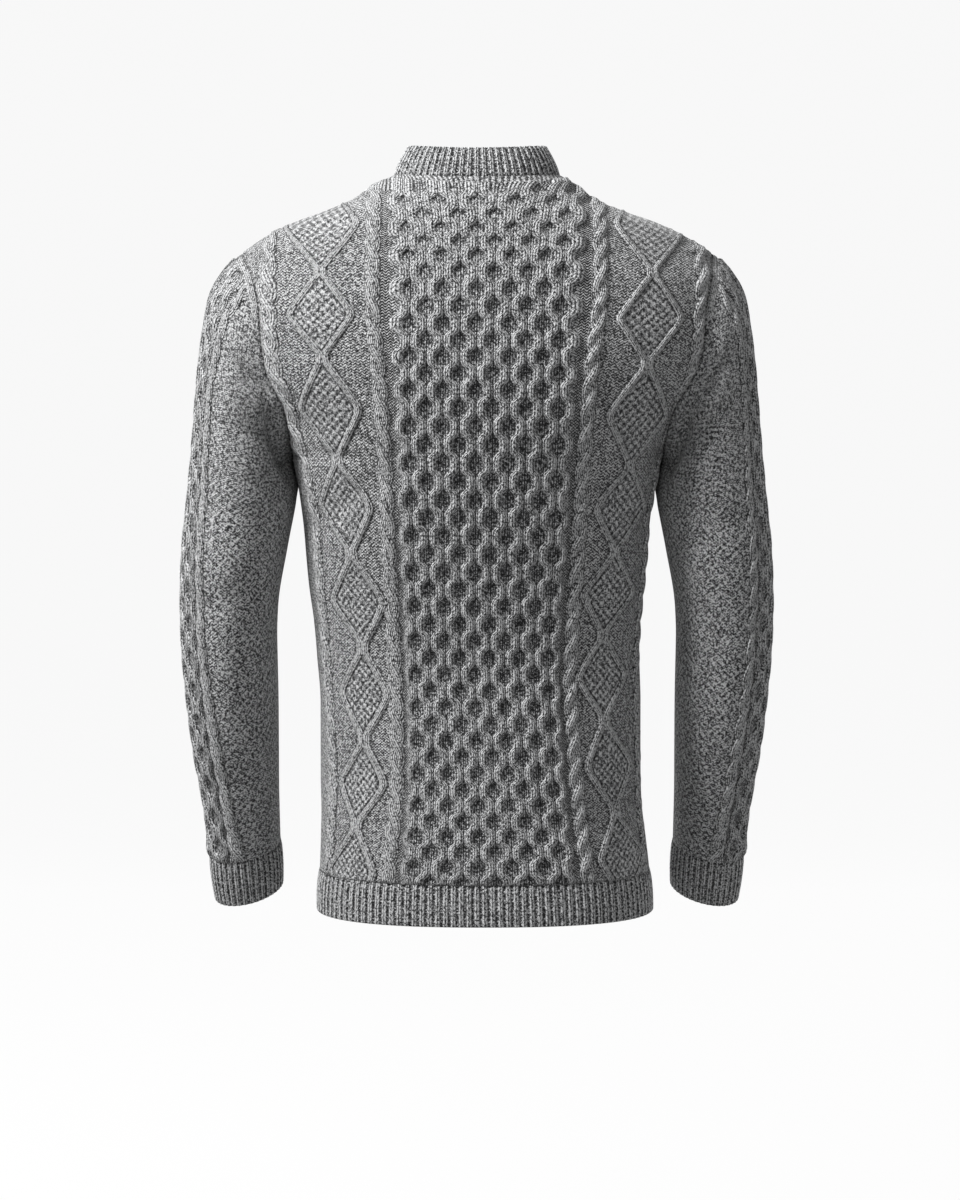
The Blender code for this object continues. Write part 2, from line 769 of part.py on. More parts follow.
def build_panel(panel, armholes, neck, collection):
    """One panel: the raised outside, the plain inside and the four rims between them."""
    points = panel.points.copy()
    out = panel.normals.copy()
    rows, columns = points.shape[:2]
    first_neck, last_neck = panel.neck
    for column in list(range(first_neck)) + list(range(last_neck + 1, columns)):
        out[0, column] = unit(out[0, column] * (1, 0, 1))
        points[0, column, 1] = panel.sign * HALF_GAP
    for column in (0, columns - 1):
        for row in range(panel.underarm + 1, rows):
            out[row, column] = unit(out[row, column] * (1, 0, 1))
            points[row, column, 1] = panel.sign * HALF_GAP
    out[-1] = unit(out[-1] * (1, 1, 0))
    out[-1, (0, -1)] = ((-1, 0, 0), (1, 0, 0))
    points[-1, :, 2] = HEM_SEAM_Z + HALF_GAP
    for side in (1, -1):
        seam = armholes[side]
        count = len(seam["points"])
        for number, key in enumerate(panel.armhole(side)):
            at = number if panel.face == "back" else (count - number) % count
            out[key] = seam["out"][at]
            points[key] = seam["points"][at] - seam["across"][at] * HALF_GAP
            if number in (0, panel.underarm):
                points[key][1] = panel.sign * HALF_GAP
    count = len(neck["points"])
    for number, key in enumerate(panel.neckline()):
        at = number if panel.face == "back" else (count - number) % count
        out[key] = neck["out"][at]
        points[key] = neck["points"][at] - neck["across"][at] * HALF_GAP
        if key[1] in panel.neck:
            points[key][1] = panel.sign * HALF_GAP
    relief = panel.relief.copy()
    relief[0] *= SEAM_RELIEF
    relief[:, (0, -1)] *= SEAM_RELIEF
    relief[-1] *= SEAM_RELIEF
    faces = Faces()
    outer = faces.add(points + out * relief[:, :, None])
    faces.grid(outer, relief)
    inside = points - out * WALL
    border = [(0, c) for c in range(columns)]
    border += [(r, columns - 1) for r in range(1, rows)]
    border += [(rows - 1, c) for c in range(columns - 2, -1, -1)]
    border += [(r, 0) for r in range(rows - 2, 0, -1)]
    inner = np.full((rows, columns), -1)
    for key, number in zip(border, faces.add(np.array([inside[key] for key in border]))):
        inner[key] = number
    ring = border + border[:1]
    for a, b in zip(ring, ring[1:]):
        faces.quad(outer[a], outer[b], inner[b], inner[a], (0, 0, 0, 0))
    coarse_rows = [2, 5] + list(range(8, rows - 3, 3)) + [rows - 3]
    coarse_columns = [2, 5, 8, 12, 17, columns // 2, columns - 18, columns - 13]
    coarse_columns += [columns - 9, columns - 6, columns - 3]
    coarse = faces.add(inside[np.ix_(coarse_rows, coarse_columns)])
    faces.grid(coarse, np.zeros(coarse.shape))
    faces.strip(inner[0], coarse[0])
    faces.strip(inner[-1], coarse[-1])
    span = rows - 1
    dense_places = np.arange(rows) / span
    coarse_places = (np.array(coarse_rows) - 2) / (span - 4)
    faces.strip(inner[:, 0], coarse[:, 0], dense_places, coarse_places)
    faces.strip(inner[:, -1], coarse[:, -1], dense_places, coarse_places)
    add_object(panel.face, faces, "body", collection)


def ring_directions(side, run, angles):
    """Directions out of a ring in its own plane."""
    _, across, deep = sleeve_ring(side, run)
    round_it = [-across * math.sin(a) + deep * math.cos(a) for a in angles]
    axis = np.cross(across, deep)
    out = unit(np.cross(round_it, axis))
    from_middle = np.array([across * math.cos(a) + deep * math.sin(a) for a in angles])
    return out * np.sign(np.sum(out * from_middle, axis=1, keepdims=True))


def ring_axis(side, run):
    """The direction down a sleeve, square to a ring."""
    _, across, deep = sleeve_ring(side, run)
    axis = unit(np.cross(across, deep))
    return axis * -np.sign(axis[2])


def build_sleeve(side, seam, collection):
    """A sleeve: a tube from the armhole's own points to the ring where the cuff begins."""
    runs = np.linspace(0, SLEEVE_SEAM_RUN, SLEEVE_ROWS + 1)[1:]
    angles = [sleeve_angles(run) for run in runs]
    points = np.array([[sleeve_point(side, a, r) for a in row] for row, r in zip(angles, runs)])
    relief = np.array([other_side_relief(row) for row in range(len(runs))])
    relief[0] *= SEAM_RELIEF
    centre = points.mean(axis=1, keepdims=True)
    out = grid_normals(points, points - centre, closed=True)
    out[-1] = ring_directions(side, runs[-1], angles[-1])
    points[-1] -= ring_axis(side, runs[-1]) * HALF_GAP
    relief[-1] *= SEAM_RELIEF
    faces = Faces()
    start = seam["points"] + seam["across"] * HALF_GAP
    start_outer = faces.add(start)
    start_inner = faces.add(start - seam["out"] * WALL)
    outer = faces.add(points + out * relief[:, :, None])
    faces.grid(outer, relief, closed=True)
    turn = 2 * math.pi
    faces.ring_strip(start_outer, outer[0], seam["angles"] / turn, angles[0] / turn)
    for i in range(len(start)):
        n = (i + 1) % len(start)
        faces.quad(start_outer[i], start_outer[n], start_inner[n], start_inner[i], (0,) * 4)
    end_inner = faces.add(points[-1] - out[-1] * WALL)
    for i in range(len(end_inner)):
        n = (i + 1) % len(end_inner)
        faces.quad(outer[-1, i], outer[-1, n], end_inner[n], end_inner[i], (0,) * 4)
    rows = [1, 3] + list(range(6, len(runs) - 2, 3))
    half_way = SLEEVE_COLUMNS + SLEEVE_PLAIN_COLUMNS + 3
    columns = [0, 4, 8, 10, 12]
    columns += [half_way] + [2 * half_way - c for c in columns[:0:-1]]
    coarse = faces.add((points - out * WALL)[np.ix_(rows, columns)])
    faces.grid(coarse, np.zeros(coarse.shape), closed=True)
    first = np.array([angles[rows[0]][c] for c in columns]) / turn
    last = np.array([angles[rows[-1]][c] for c in columns]) / turn
    faces.ring_strip(start_inner, coarse[0], seam["angles"] / turn, first)
    faces.ring_strip(end_inner, coarse[-1], angles[-1] / turn, last)
    add_object("sleeve_left" if side > 0 else "sleeve_right", faces, "body", collection)


def rib_solid(name, base, top, base_out, top_out, closed, collection):
    """A band of ribs from a seam, the base, to a free edge: a ridge at each even point and a valley at
    each odd one, over a plain inside with a point behind each ridge."""
    count = len(base)
    heights = np.where(np.arange(count) % 2 == 0, RIB_RIDGE, RIB_VALLEY)
    faces = Faces()
    outer_base = faces.add(base + base_out * heights[:, None] * SEAM_RELIEF)
    outer_top = faces.add(top + top_out * heights[:, None])
    faces.grid(np.array([outer_base, outer_top]), np.array([heights, heights]), closed)
    ridges = slice(0, count, 2)
    inner_base = faces.add((base - base_out * WALL)[ridges])
    inner_top = faces.add((top - top_out * WALL)[ridges])
    places = np.arange(count) / count
    flat = np.zeros((2, len(inner_base)))
    faces.grid(np.array([inner_base, inner_top]), flat, closed)
    for outer, inner in ((outer_base, inner_base), (outer_top, inner_top)):
        if closed:
            faces.ring_strip(outer, inner, places, places[ridges] + 1e-9)
        else:
            faces.strip(outer, inner, places, places[ridges] + 1e-9)
    if not closed:
        for i in (0, -1):
            end = (outer_base[i], outer_top[i], inner_top[i], inner_base[i])
            faces.quad(*end, (0,) * 4)
    add_object(name, faces, "rib", collection)


def level_line(z, face, count):
    """count + 1 evenly spaced skin points of a level slice from side to side, with the ways out."""
    xs, ys, lengths = half_slice(z, face)
    xs = np.concatenate([-xs[::-1], xs[1:]])
    ys = np.concatenate([ys[::-1], ys[1:]])
    lengths = np.concatenate([-lengths[::-1], lengths[1:]])
    at = np.linspace(lengths[0], lengths[-1], count + 1)
    x = np.interp(at, lengths, xs)
    y = np.interp(at, lengths, ys)
    points = np.stack([x, y, np.full(len(x), z)], axis=1)
    tangent = np.gradient(points, axis=0)
    out = unit(np.stack([tangent[:, 1], -tangent[:, 0], np.zeros(len(x))], axis=1))
    out *= np.sign(np.sum(out * points * (1, 1, 0), axis=1, keepdims=True))
    out[0] = (-1, 0, 0)
    out[-1] = (1, 0, 0)
    points[:, 0] += MIDDLE("body", z)
    points[(0, -1), 1] = HALF_GAP if face == "back" else -HALF_GAP
    return points, out


def build_hem(face, collection):
    """The hem rib of one panel."""
    length = 2 * half_slice(HEM_SEAM_Z, face)[2][-1]
    count = 2 * round(length / HEM_RIB_PITCH)
    upper, upper_out = level_line(HEM_SEAM_Z, face, count)
    lower, lower_out = level_line(HEM_Z, face, count)
    upper[:, 2] -= HALF_GAP
    rib_solid(f"hem_rib_{face}", upper, lower, upper_out, lower_out, False, collection)


def build_cuff(side, collection):
    """The cuff rib of one sleeve."""
    fine = np.linspace(0, 2 * math.pi, 721)
    centre, across, deep = sleeve_ring(side, SLEEVE_SEAM_RUN)
    ring = centre + np.outer(np.cos(fine), across) + np.outer(np.sin(fine), deep)
    lengths = np.concatenate([[0], np.cumsum(np.linalg.norm(np.diff(ring, axis=0), axis=1))])
    count = 2 * round(lengths[-1] / CUFF_RIB_PITCH)
    angles = np.interp(np.arange(count) * lengths[-1] / count, lengths, fine)
    lines = []
    for run in (SLEEVE_SEAM_RUN, CUFF_RUN):
        centre, across, deep = sleeve_ring(side, run)
        points = centre + np.outer(np.cos(angles), across) + np.outer(np.sin(angles), deep)
        lines.append((points, ring_directions(side, run, angles)))
    (upper, upper_out), (lower, lower_out) = lines
    upper += ring_axis(side, SLEEVE_SEAM_RUN) * HALF_GAP
    name = "cuff_rib_left" if side > 0 else "cuff_rib_right"
    rib_solid(name, upper, lower, upper_out, lower_out, True, collection)


def build_collar(neck, collection):
    """The collar: a rib band that stands on the neckline's own points and leans in."""
    points = neck["points"] + neck["across"] * HALF_GAP
    base = []
    base_out = []
    for i, point in enumerate(points):
        n = (i + 1) % len(points)
        ribs = max(1, round(float(np.linalg.norm(points[n] - point)) / COLLAR_RIB_PITCH))
        twist = 1 - neck["out"][i] @ neck["out"][n]
        for share in np.arange(2 * ribs) / (2 * ribs):
            room = TWIST_ROOM * twist * 4 * share * (1 - share)
            base.append(point + (points[n] - point) * share + neck["across"][i] * room)
            base_out.append(neck["out"][i] + (neck["out"][n] - neck["out"][i]) * share)
    base = np.array(base)
    base_out = unit(np.array(base_out))
    top = np.array([collar_top(point) for point in base])
    tangent = unit(np.roll(top, -1, axis=0) - np.roll(top, 1, axis=0))
    top_out = unit(np.cross(tangent, unit(top - base)))
    top_out *= np.sign(np.sum(top_out * (top - (0, NECK_AXIS_Y, 0)) * (1, 1, 0), axis=1))[:, None]
    rib_solid("collar_rib", base, top, base_out, top_out, True, collection)


def main():
    for old in list(bpy.data.objects):
        bpy.data.objects.remove(old)
    collection = bpy.data.collections.new("cable_knit_sweater")
    bpy.context.scene.collection.children.link(collection)
    back = Panel("back")
    front = Panel("front")
    armholes = {side: armhole_seam(side, back, front) for side in (1, -1)}
    neck = neck_seam(back, front)
    build_panel(back, armholes, neck, collection)
    build_panel(front, armholes, neck, collection)
    for side in (1, -1):
        build_sleeve(side, armholes[side], collection)
        build_cuff(side, collection)
    for face in ("back", "front"):
        build_hem(face, collection)
    build_collar(neck, collection)


main()
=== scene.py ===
"""The looks of the cable knit sweater: nine thin knitted shells over the CAD solids.

Frame: metres, +Z up, the back of the sweater towards +Y, its left sleeve at +X. Sizes below are in
millimetres. Each shell repeats the skin of its solid, and its cables, honeycomb, diamonds, moss and ribs
are raised from it by the same rules that the wool's material reads its stitches from.
"""

import math

import bmesh
import bpy
import numpy as np
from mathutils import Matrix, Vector
from mathutils.kdtree import KDTree


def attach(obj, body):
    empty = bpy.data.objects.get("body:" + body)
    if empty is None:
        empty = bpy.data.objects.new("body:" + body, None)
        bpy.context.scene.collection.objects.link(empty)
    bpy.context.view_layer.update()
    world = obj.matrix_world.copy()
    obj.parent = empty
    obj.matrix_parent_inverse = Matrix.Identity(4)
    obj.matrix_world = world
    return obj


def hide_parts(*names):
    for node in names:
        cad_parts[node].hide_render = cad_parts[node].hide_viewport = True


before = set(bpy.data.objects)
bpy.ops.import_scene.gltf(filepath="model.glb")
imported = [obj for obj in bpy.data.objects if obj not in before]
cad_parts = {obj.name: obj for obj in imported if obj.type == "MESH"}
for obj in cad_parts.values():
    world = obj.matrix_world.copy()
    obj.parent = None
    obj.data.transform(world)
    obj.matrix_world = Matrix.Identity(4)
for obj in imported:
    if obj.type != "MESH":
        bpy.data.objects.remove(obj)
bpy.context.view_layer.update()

MM = 0.001
WALL = 3.0
SEAM_RELIEF = 0.35
TURN = 2 * math.pi

# Heights of the raised knitting
HONEYCOMB_ROPE = 3.3
CELL_FLOOR = -0.5
ROPE = 3.2
DIAMOND_RIB = 2.3
RIB_HALF = 3.9  # half the width of a diamond's rib
MOSS = 0.7
PIPING = 1.2  # the rib that the sleeve has along the upper armhole seam
PIPING_MIDDLE = 4.6  # from the seam
PIPING_HALF = 3.8
PIPING_END = -150.0  # where it ends, down the armhole
COLLAR_RIB = 1.6  # a rib of the collar, hem and cuffs, from the bottom of its furrow
COLLAR_FURROW = -0.6

# How the cloth leaves the skin of its solid
SLEEVE_SINK = 2.6  # lower along the outer line of the sleeves
SHOULDER_SINK = 0.6  # lower on the shoulders, between the cables
SHOULDER_SPAN = 9.0  # the turn of the shoulder is eased over this height each way
SIDE_ROPE_WIDTH = 16.5  # the rope along the side seam
ARMHOLE_ROPE_MORE = 30.0  # how much wider it is above the underarm
SHOULDER_ROPE_LESS = 27.0  # how much of that goes again on the shoulder
DIAMOND_SIZE = 1.15  # how much wider a diamond is than its lane in LAYOUT says

# Neck and main heights, as in the solids
NECK_HALF_WIDTH = 76.0
NECK_POINT_Z = -2.0
BACK_NECK_Z = -6.0
FRONT_NECK_Z = -78.0
NECK_AXIS_Y = -10.0
COLLAR_HEIGHT = 27.0
COLLAR_NARROWING = 0.82
SHOULDER_Z = -74.0
UNDERARM_Z = -263.3
HEM_SEAM_Z = -645.0
HEM_Z = -683.0
SLEEVE_SHIFT = 1.4
SLEEVE_SEAM_RUN = 580.5
CUFF_RUN = 625.5
CAP_RUN = 150.0
HEM_RIB_PITCH = 7.0
CUFF_RIB_PITCH = 6.2
COLLAR_RIB_PITCH = 7.3
CROSSED_RIBS = 4.0

# The knitting, counted in stitches and courses
COURSES_PER_CELL = 8.0
ROPE_HALF_WIDTH = 7.2  # in millimetres, of the rope beside the honeycomb
ROPE_STITCHES = 4.0
SWING = 0.205  # of a column: how far a rope of the honeycomb swings to each side
ROPE_HALF = 0.31  # of a column: half the width of a rope of the honeycomb
WIDER_AT_COLLAR = 0.12  # how much wider those ropes are next to the collar
SHUT = 0.14  # how much longer the ropes of the honeycomb stay together than apart
SHUT_AT_COLLAR = 0.5  # how much longer the cells next to the collar stay shut
COURSE = 4.1
STITCH = 3.75
SLEEVE_COURSE = 3.82
FIRST_SLEEVE_COURSE = 4
POINTS_PER_RIB = 10


def smooth(xs, ys, x):
    """The height at x of a curve that passes through the points and never overshoots them."""
    step = np.diff(xs)
    slope = np.diff(ys) / step
    product = slope[:-1] * slope[1:]
    total = slope[:-1] + slope[1:]
    turning = product <= 0
    middle = np.where(turning, 0.0, 2 * product / np.where(turning, 1.0, total))
    tangent = np.concatenate([slope[:1], middle, slope[-1:]])
    x = np.clip(x, xs[0], xs[-1])
    i = np.clip(np.searchsorted(xs, x, side="right") - 1, 0, len(xs) - 2)
    t = (x - xs[i]) / step[i]
    rise = ys[i] * (1 + 2 * t) * (1 - t) ** 2 + ys[i + 1] * t**2 * (3 - 2 * t)
    return rise + step[i] * (tangent[i] * t * (1 - t) ** 2 + tangent[i + 1] * t**2 * (t - 1))


class Table:
    """Smooth curves through the rows of a table. The first column is what the others depend on."""

    def __init__(self, text):
        names, *rows = (line.split() for line in text.strip().splitlines())
        grid = np.array(sorted([float(number) for number in row] for row in rows))
        self.key = grid[:, 0]
        self.columns = dict(zip(names[1:], grid[:, 1:].T))

    def __call__(self, name, x):
        return smooth(self.key, self.columns[name], x)


# The edge of a panel seen from behind, up the side seam, the armhole and the shoulder seam.
# half is its distance from the middle; back and front say how far the armhole stands off the side.
EDGE = Table("""
     z  half back front
  -683 156.5    0     0
  -645 154.0    0     0
  -615 151.7    0     0
  -581 149.5    0     0
  -488 149.0    0     0
  -442 150.0    0     0
  -414 151.5    0     0
  -377 155.8    0     0
  -321 160.8    0     0
  -286 165.3    0     0
-263.3 169.6    0     0
  -247 171.0   27   -25
  -228 174.5   44   -41
  -213 178.5   55   -51
  -191 190.5   62   -57
  -178   196   63   -58
  -150   201   62   -56
  -125 202.5   55   -47
  -100   208   38   -32
   -85 212.5   19   -16
   -74   216    0     0
   -66   206    0     0
   -56   190    0     0
   -45   167    0     0
   -36   142    0     0
   -24   113    0     0
    -7    87    0     0
    -2    76    0     0
""")

# The side view: how far the middle of the back and of the front stand from the side seams.
PROFILE = Table("""
   z  back front
-683   107  -115
-630 103.5  -114
-575    97  -112
-516    90  -111
-456    87  -113
-394    92  -119
-329   102  -127
-263   112  -130
-200 117.3  -125
-170   117  -119
-133 113.5  -109
 -98 107.5   -95
 -70  99.5   -84
 -44    90   -73
 -24    79   -66
  -2    60   -56
""")

# How square the body is across: 1 - share ** square, to the power round. Reach is the part of that
# curve which a panel takes, up to where a sleeve carries it on.
ROUNDNESS = Table("""
     z square round reach
  -683    2.4  0.42     1
-263.3    2.3 0.435     1
  -215    2.3  0.45  0.94
  -165    2.3  0.48  0.90
  -120    2.2  0.55  0.93
   -90    2.1  0.65  0.98
   -74    2.0  0.70     1
   -30    2.0  0.68     1
    -2    2.0  0.60     1
""")

# The body hangs a little to one side, and the middle of the knitting lies beside the middle of the body.
MIDDLE = Table("""
   z body knitting
-683 -6.5       -9
-645 -6.0       -9
-549 -2.3     -7.5
-488 -2.3     -5.5
-442    0       -4
-377  1.4     -4.5
-262  1.4     -5.5
-213 -1.0     -5.9
-150 -4.0     -6.5
-100 -4.0     -7.6
 -72  1.0       -8
 -43  3.0       -8
 -20  4.0       -8
  -2  1.0       -8
""")

# Honeycomb: the height of each cell of the middle columns, by its number from the neck down.
CELLS = Table("""
number      z
  -0.5  -18.5
     0  -30.0
     1  -54.5
     2  -79.0
     3 -108.5
     4 -139.5
     6 -198.4
     8 -263.3
    10 -329.4
    12 -393.8
    14 -455.9
    16 -516.0
    18 -574.5
    20 -630.0
  20.5 -645.0
""")
LAST_CELL_HEIGHT = 30.0

# Where the knitting lies across a panel, from the middle of the knitting.
# cell is one honeycomb column, half half the width of a diamond, line the ground beside the side rope.
LAYOUT = Table("""
   z cell  rope diamond half  line
-645 14.9  91.0   125.0 19.0 142.0
-590 14.0  85.0   118.8 19.0 138.0
-553 13.5  81.5   113.5 19.0 136.0
-509 13.3  79.5   109.7 19.5 136.0
-472 13.2  79.0   108.0 20.0 136.5
-427 13.3  80.5   108.9 21.0 139.0
-390 13.5  82.0   113.0 21.7 142.0
-345 13.9  85.0   119.3 21.5 146.0
-301 14.2  87.0   125.5 21.5 151.0
-262 14.5  89.0   132.0 23.0 158.0
-212 14.7  92.0   139.0 25.0 170.0
-170 14.8  96.0   145.3 26.0 183.0
-119 14.9 101.5   148.5 26.7 187.5
 -60 15.6 102.0   150.5 32.0 190.0
 -20 16.4 102.0   152.0 32.0 190.0
""")

# Heights where the two ribs of a diamond panel cross, on the left and the right half of a panel.
CROSSINGS = {
    +1: (-4, -92.0, -168.3, -260.7, -346, -432, -517, -594.6, -680),
    -1: (-2, -93.0, -174, -266.5, -344.4, -420.9, -498.6, -583.3, -668),
}

# The left sleeve. run follows its outer line from the shoulder; each ring goes from its outer point
# to its inner one, lies about centre_y and is depth wide each way, with its back lower by drop.
SLEEVE = Table("""
  run outer_x outer_z inner_x inner_z centre_y depth drop
    0     216     -74   169.6  -263.3        0    61    0
   24     234   -89.5   170.6    -266        0    62    0
   50     247    -112   170.8    -269        0  62.5    0
   80     253    -142   170.6  -272.5        0    63    0
  114   257.5    -175   170.2    -277        0    63    0
  154     261    -215   169.6    -283        0    63    0
  193   264.3    -254   169.2  -290.5        0  62.5    0
  237   268.6    -298   169.6    -303        1    62    1
  289     274    -350   176.5    -347        1    60    2
  344     276  -404.5   184.8    -400       -3  56.5    4
372.5   275.6    -433     186    -429       -7  54.5    7
  424   272.5    -484   185.7    -480      -16    51    9
  480     267    -540   186.3    -535      -29    47   10
  528     260    -588     187    -582      -42    43   10
580.5     254    -640   186.8    -628    -54.5  38.5  8.5
625.5   249.5    -685     186    -672      -67    36    8
""")

# The knitting round a sleeve, as angles from its outer line.
SLEEVE_LAYOUT = Table("""
  run honeycomb rope_end
    0        36       52
  114        38       54
  237        41       58
  344        47       66
  424        52       74
  528        59       87
580.5        63       98
""")


def unit(vectors):
    length = np.linalg.norm(vectors, axis=-1, keepdims=True)
    return vectors / np.maximum(length, 1e-9)


def ease(t):
    """0 to 1 with no corner at either end."""
    t = np.clip(t, 0.0, 1.0)
    return t * t * (3 - 2 * t)


# Skin of the body


def skin_y(x, z, face):
    """How far back or forward the skin lies, at x from the middle of the body."""
    square = ROUNDNESS("square", z)
    power = ROUNDNESS("round", z)
    reach = ROUNDNESS("reach", z)
    share = np.clip(np.abs(x) / EDGE("half", z), 0, 1)
    curve = np.clip(1 - (share * reach) ** square, 0, 1) ** power
    end = np.clip(1 - reach**square, 0, 1) ** power
    edge_y = EDGE(face, z)
    return edge_y + (PROFILE(face, z) - edge_y) * (curve - end) / (1 - end)


def neckline_height(x, face):
    across = np.minimum(np.abs(x) / NECK_HALF_WIDTH, 1.0)
    if face == "back":
        return BACK_NECK_Z + (NECK_POINT_Z - BACK_NECK_Z) * across**2
    return NECK_POINT_Z + (FRONT_NECK_Z - NECK_POINT_Z) * (1 - across**2) ** 0.6


def skin_point(x, z, face):
    return np.stack([MIDDLE("body", z) + x, skin_y(x, z, face), z + 0 * x], axis=-1)


def skin_normal(x, z, face):
    """The way out of the body at a point of its skin."""
    step = 0.4
    inward = np.where(x > 0, -step, step)
    along = (skin_point(x + inward, z, face) - skin_point(x, z, face)) / inward[..., None]
    up = skin_point(x, z + step, face) - skin_point(x, z - step, face)
    normal = unit(np.cross(up, along))
    return normal if face == "back" else -normal


# Skin of a sleeve


def sleeve_ring(side, run):
    """For each run: the ring's centre, the vector to its outer point and the one to its back point."""
    run = np.asarray(run, float)
    zero = 0 * run
    outer = np.stack([side * SLEEVE("outer_x", run), zero, SLEEVE("outer_z", run)], axis=-1)
    inner = np.stack([side * SLEEVE("inner_x", run), zero, SLEEVE("inner_z", run)], axis=-1)
    centre = (outer + inner) / 2
    centre[..., 0] += SLEEVE_SHIFT
    centre[..., 1] += SLEEVE("centre_y", run)
    deep = np.stack([zero, SLEEVE("depth", run), -SLEEVE("drop", run)], axis=-1)
    return centre, (outer - inner) / 2, deep


def armhole_point(side, angle):
    z = (SHOULDER_Z + UNDERARM_Z) / 2 + np.cos(angle) * (SHOULDER_Z - UNDERARM_Z) / 2
    y = np.where(np.sin(angle) >= 0, EDGE("back", z), EDGE("front", z))
    return np.stack([MIDDLE("body", z) + side * EDGE("half", z), y, z], axis=-1)


def sleeve_point(side, angle, run):
    """The skin of a sleeve. The angle is 0 at its outer line and a quarter turn at its back."""
    angle, run = np.broadcast_arrays(angle, run)
    turned = np.cos(angle)[..., None], np.sin(angle)[..., None]
    centre, across, deep = sleeve_ring(side, run)
    point = centre + across * turned[0] + deep * turned[1]
    centre, across, deep = sleeve_ring(side, 0 * run)
    plain = centre + across * turned[0] + deep * turned[1]
    cap = 1 - ease(run / CAP_RUN)
    return point + (armhole_point(side, angle) - plain) * cap[..., None]


def sleeve_normal(side, angle, run):
    around = sleeve_point(side, angle + 0.02, run) - sleeve_point(side, angle - 0.02, run)
    along = sleeve_point(side, angle, run + 4) - sleeve_point(side, angle, run)
    return side * unit(np.cross(along, around))


def armhole_out(side, z, face):
    """The way out of the cloth at the armhole seam, shared by the panel and the sleeve."""
    lift = (z - (SHOULDER_Z + UNDERARM_Z) / 2) / ((SHOULDER_Z - UNDERARM_Z) / 2)
    angle = np.arccos(np.clip(lift, -1, 1))
    if face == "front":
        angle = TURN - angle
    body = skin_normal(side * EDGE("half", z), z, face)
    out = unit(body + sleeve_normal(side, angle, 0 * z))
    level = ease(np.minimum(np.abs(lift - 1), np.abs(lift + 1)) / 0.05)
    out[..., 1] *= level
    return unit(out)


# The knitting


def course_at(z):
    """The number of the course at a height, counted from the neck down."""
    numbers = np.linspace(-0.6, 20.8, 1500)
    heights = CELLS("z", numbers)
    number = np.interp(-z, -heights, numbers)
    below = np.minimum(0, z - heights[-1])
    return COURSES_PER_CELL * (number - below / LAST_CELL_HEIGHT)


def diamond_share(z, side):
    """0 where the ribs of a diamond cross, 1 where they are furthest apart."""
    crossings = np.array(CROSSINGS[side][::-1], float)
    return 1 - abs(2 * (np.interp(z, crossings, np.arange(len(crossings))) % 1) - 1)


def honeycomb(stitches, courses, edge, calm):
    """Height of the honeycomb, and 1 on its ropes. edge is half its number of columns."""
    column = stitches / ROPE_STITCHES
    whole = np.floor(column)
    swing = np.cos(TURN * courses / COURSES_PER_CELL)
    swing = np.where(whole % 2 == 1, swing, -swing)
    near = 1 - np.clip((courses - 3) / 30, 0, 1)
    late = SHUT + (SHUT_AT_COLLAR - SHUT) * near
    half = ROPE_HALF * (1 + WIDER_AT_COLLAR * near)
    swing = (swing + late) / (1 + late * np.sign(swing + late))
    swing = swing * (15 - 10 * swing**2 + 3 * swing**4) / 8
    place = column - whole
    inner = np.abs(column) < edge
    place = np.where(inner, np.minimum(place, 1 - place), np.abs(column) - edge)
    off = np.clip(np.abs(place - SWING * swing) / (half * 1.02), 0, 1)
    floor = np.where(inner, CELL_FLOOR + calm * near * HONEYCOMB_ROPE, 0.0)
    return floor + (HONEYCOMB_ROPE - floor) * (1 - off**2.4) ** 0.62


def twisted(place, courses, lean):
    """Height of a rope of two strands. place runs from -1 to 1 across it."""
    phase = math.pi * courses / 6
    rise = np.sin(phase)
    middle = 0.5 * np.cos(phase) * lean
    half = 0.52 + 0.16 * rise**2
    first = (2 + rise) * np.sqrt(np.clip(1 - ((place - middle) / half) ** 2, 0, 1))
    second = (2 - rise) * np.sqrt(np.clip(1 - ((place + middle) / half) ** 2, 0, 1))
    return np.maximum(first, second) * ROPE / 3


def ridge(off, half):
    """A rib of height 1 that is rounded across."""
    return (1 - np.clip(np.abs(off) / half, 0, 1) ** 2.2) ** 0.7


# Zones of the knitting, in stitches from its middle. edge is half the honeycomb's number of columns,
# calm how far its cells stay filled near the neck, and ropes have a start, an end and the way they turn.
PANEL_ZONES = {"edge": 5.0, "calm": 0.3, "ropes": ((23.3, 27.3, 1), (45.6, 49.6, 1))}
SLEEVE_ZONES = {"edge": 3.0, "calm": 0.85, "ropes": ((14.0, 18.0, -1),)}


def relief(zones, stitches, courses, rib_in, rib_out):
    """How far the knitting stands off the skin."""
    across = np.abs(stitches)
    edge = ROPE_STITCHES * (zones["edge"] + SWING + ROPE_HALF + 0.02)
    height = np.where(across < edge, honeycomb(stitches, courses, zones["edge"], zones["calm"]), 0.0)
    for start, end, lean in zones["ropes"]:
        on = (across > start) & (across < end)
        place = 2 * (across - start) / (end - start) - 1
        height = np.where(on, twisted(place, courses, lean), height)
    ribs = DIAMOND_RIB * np.maximum(ridge(rib_in, RIB_HALF), ridge(rib_out, RIB_HALF))
    moss = MOSS * ease(rib_in / 4) * ease(-rib_out / 4)
    return np.maximum(height, np.maximum(ribs, moss))


# Meshes


def in_scene(name, data):
    made = bpy.data.objects.new(name, data)
    bpy.context.scene.collection.objects.link(made)
    return made


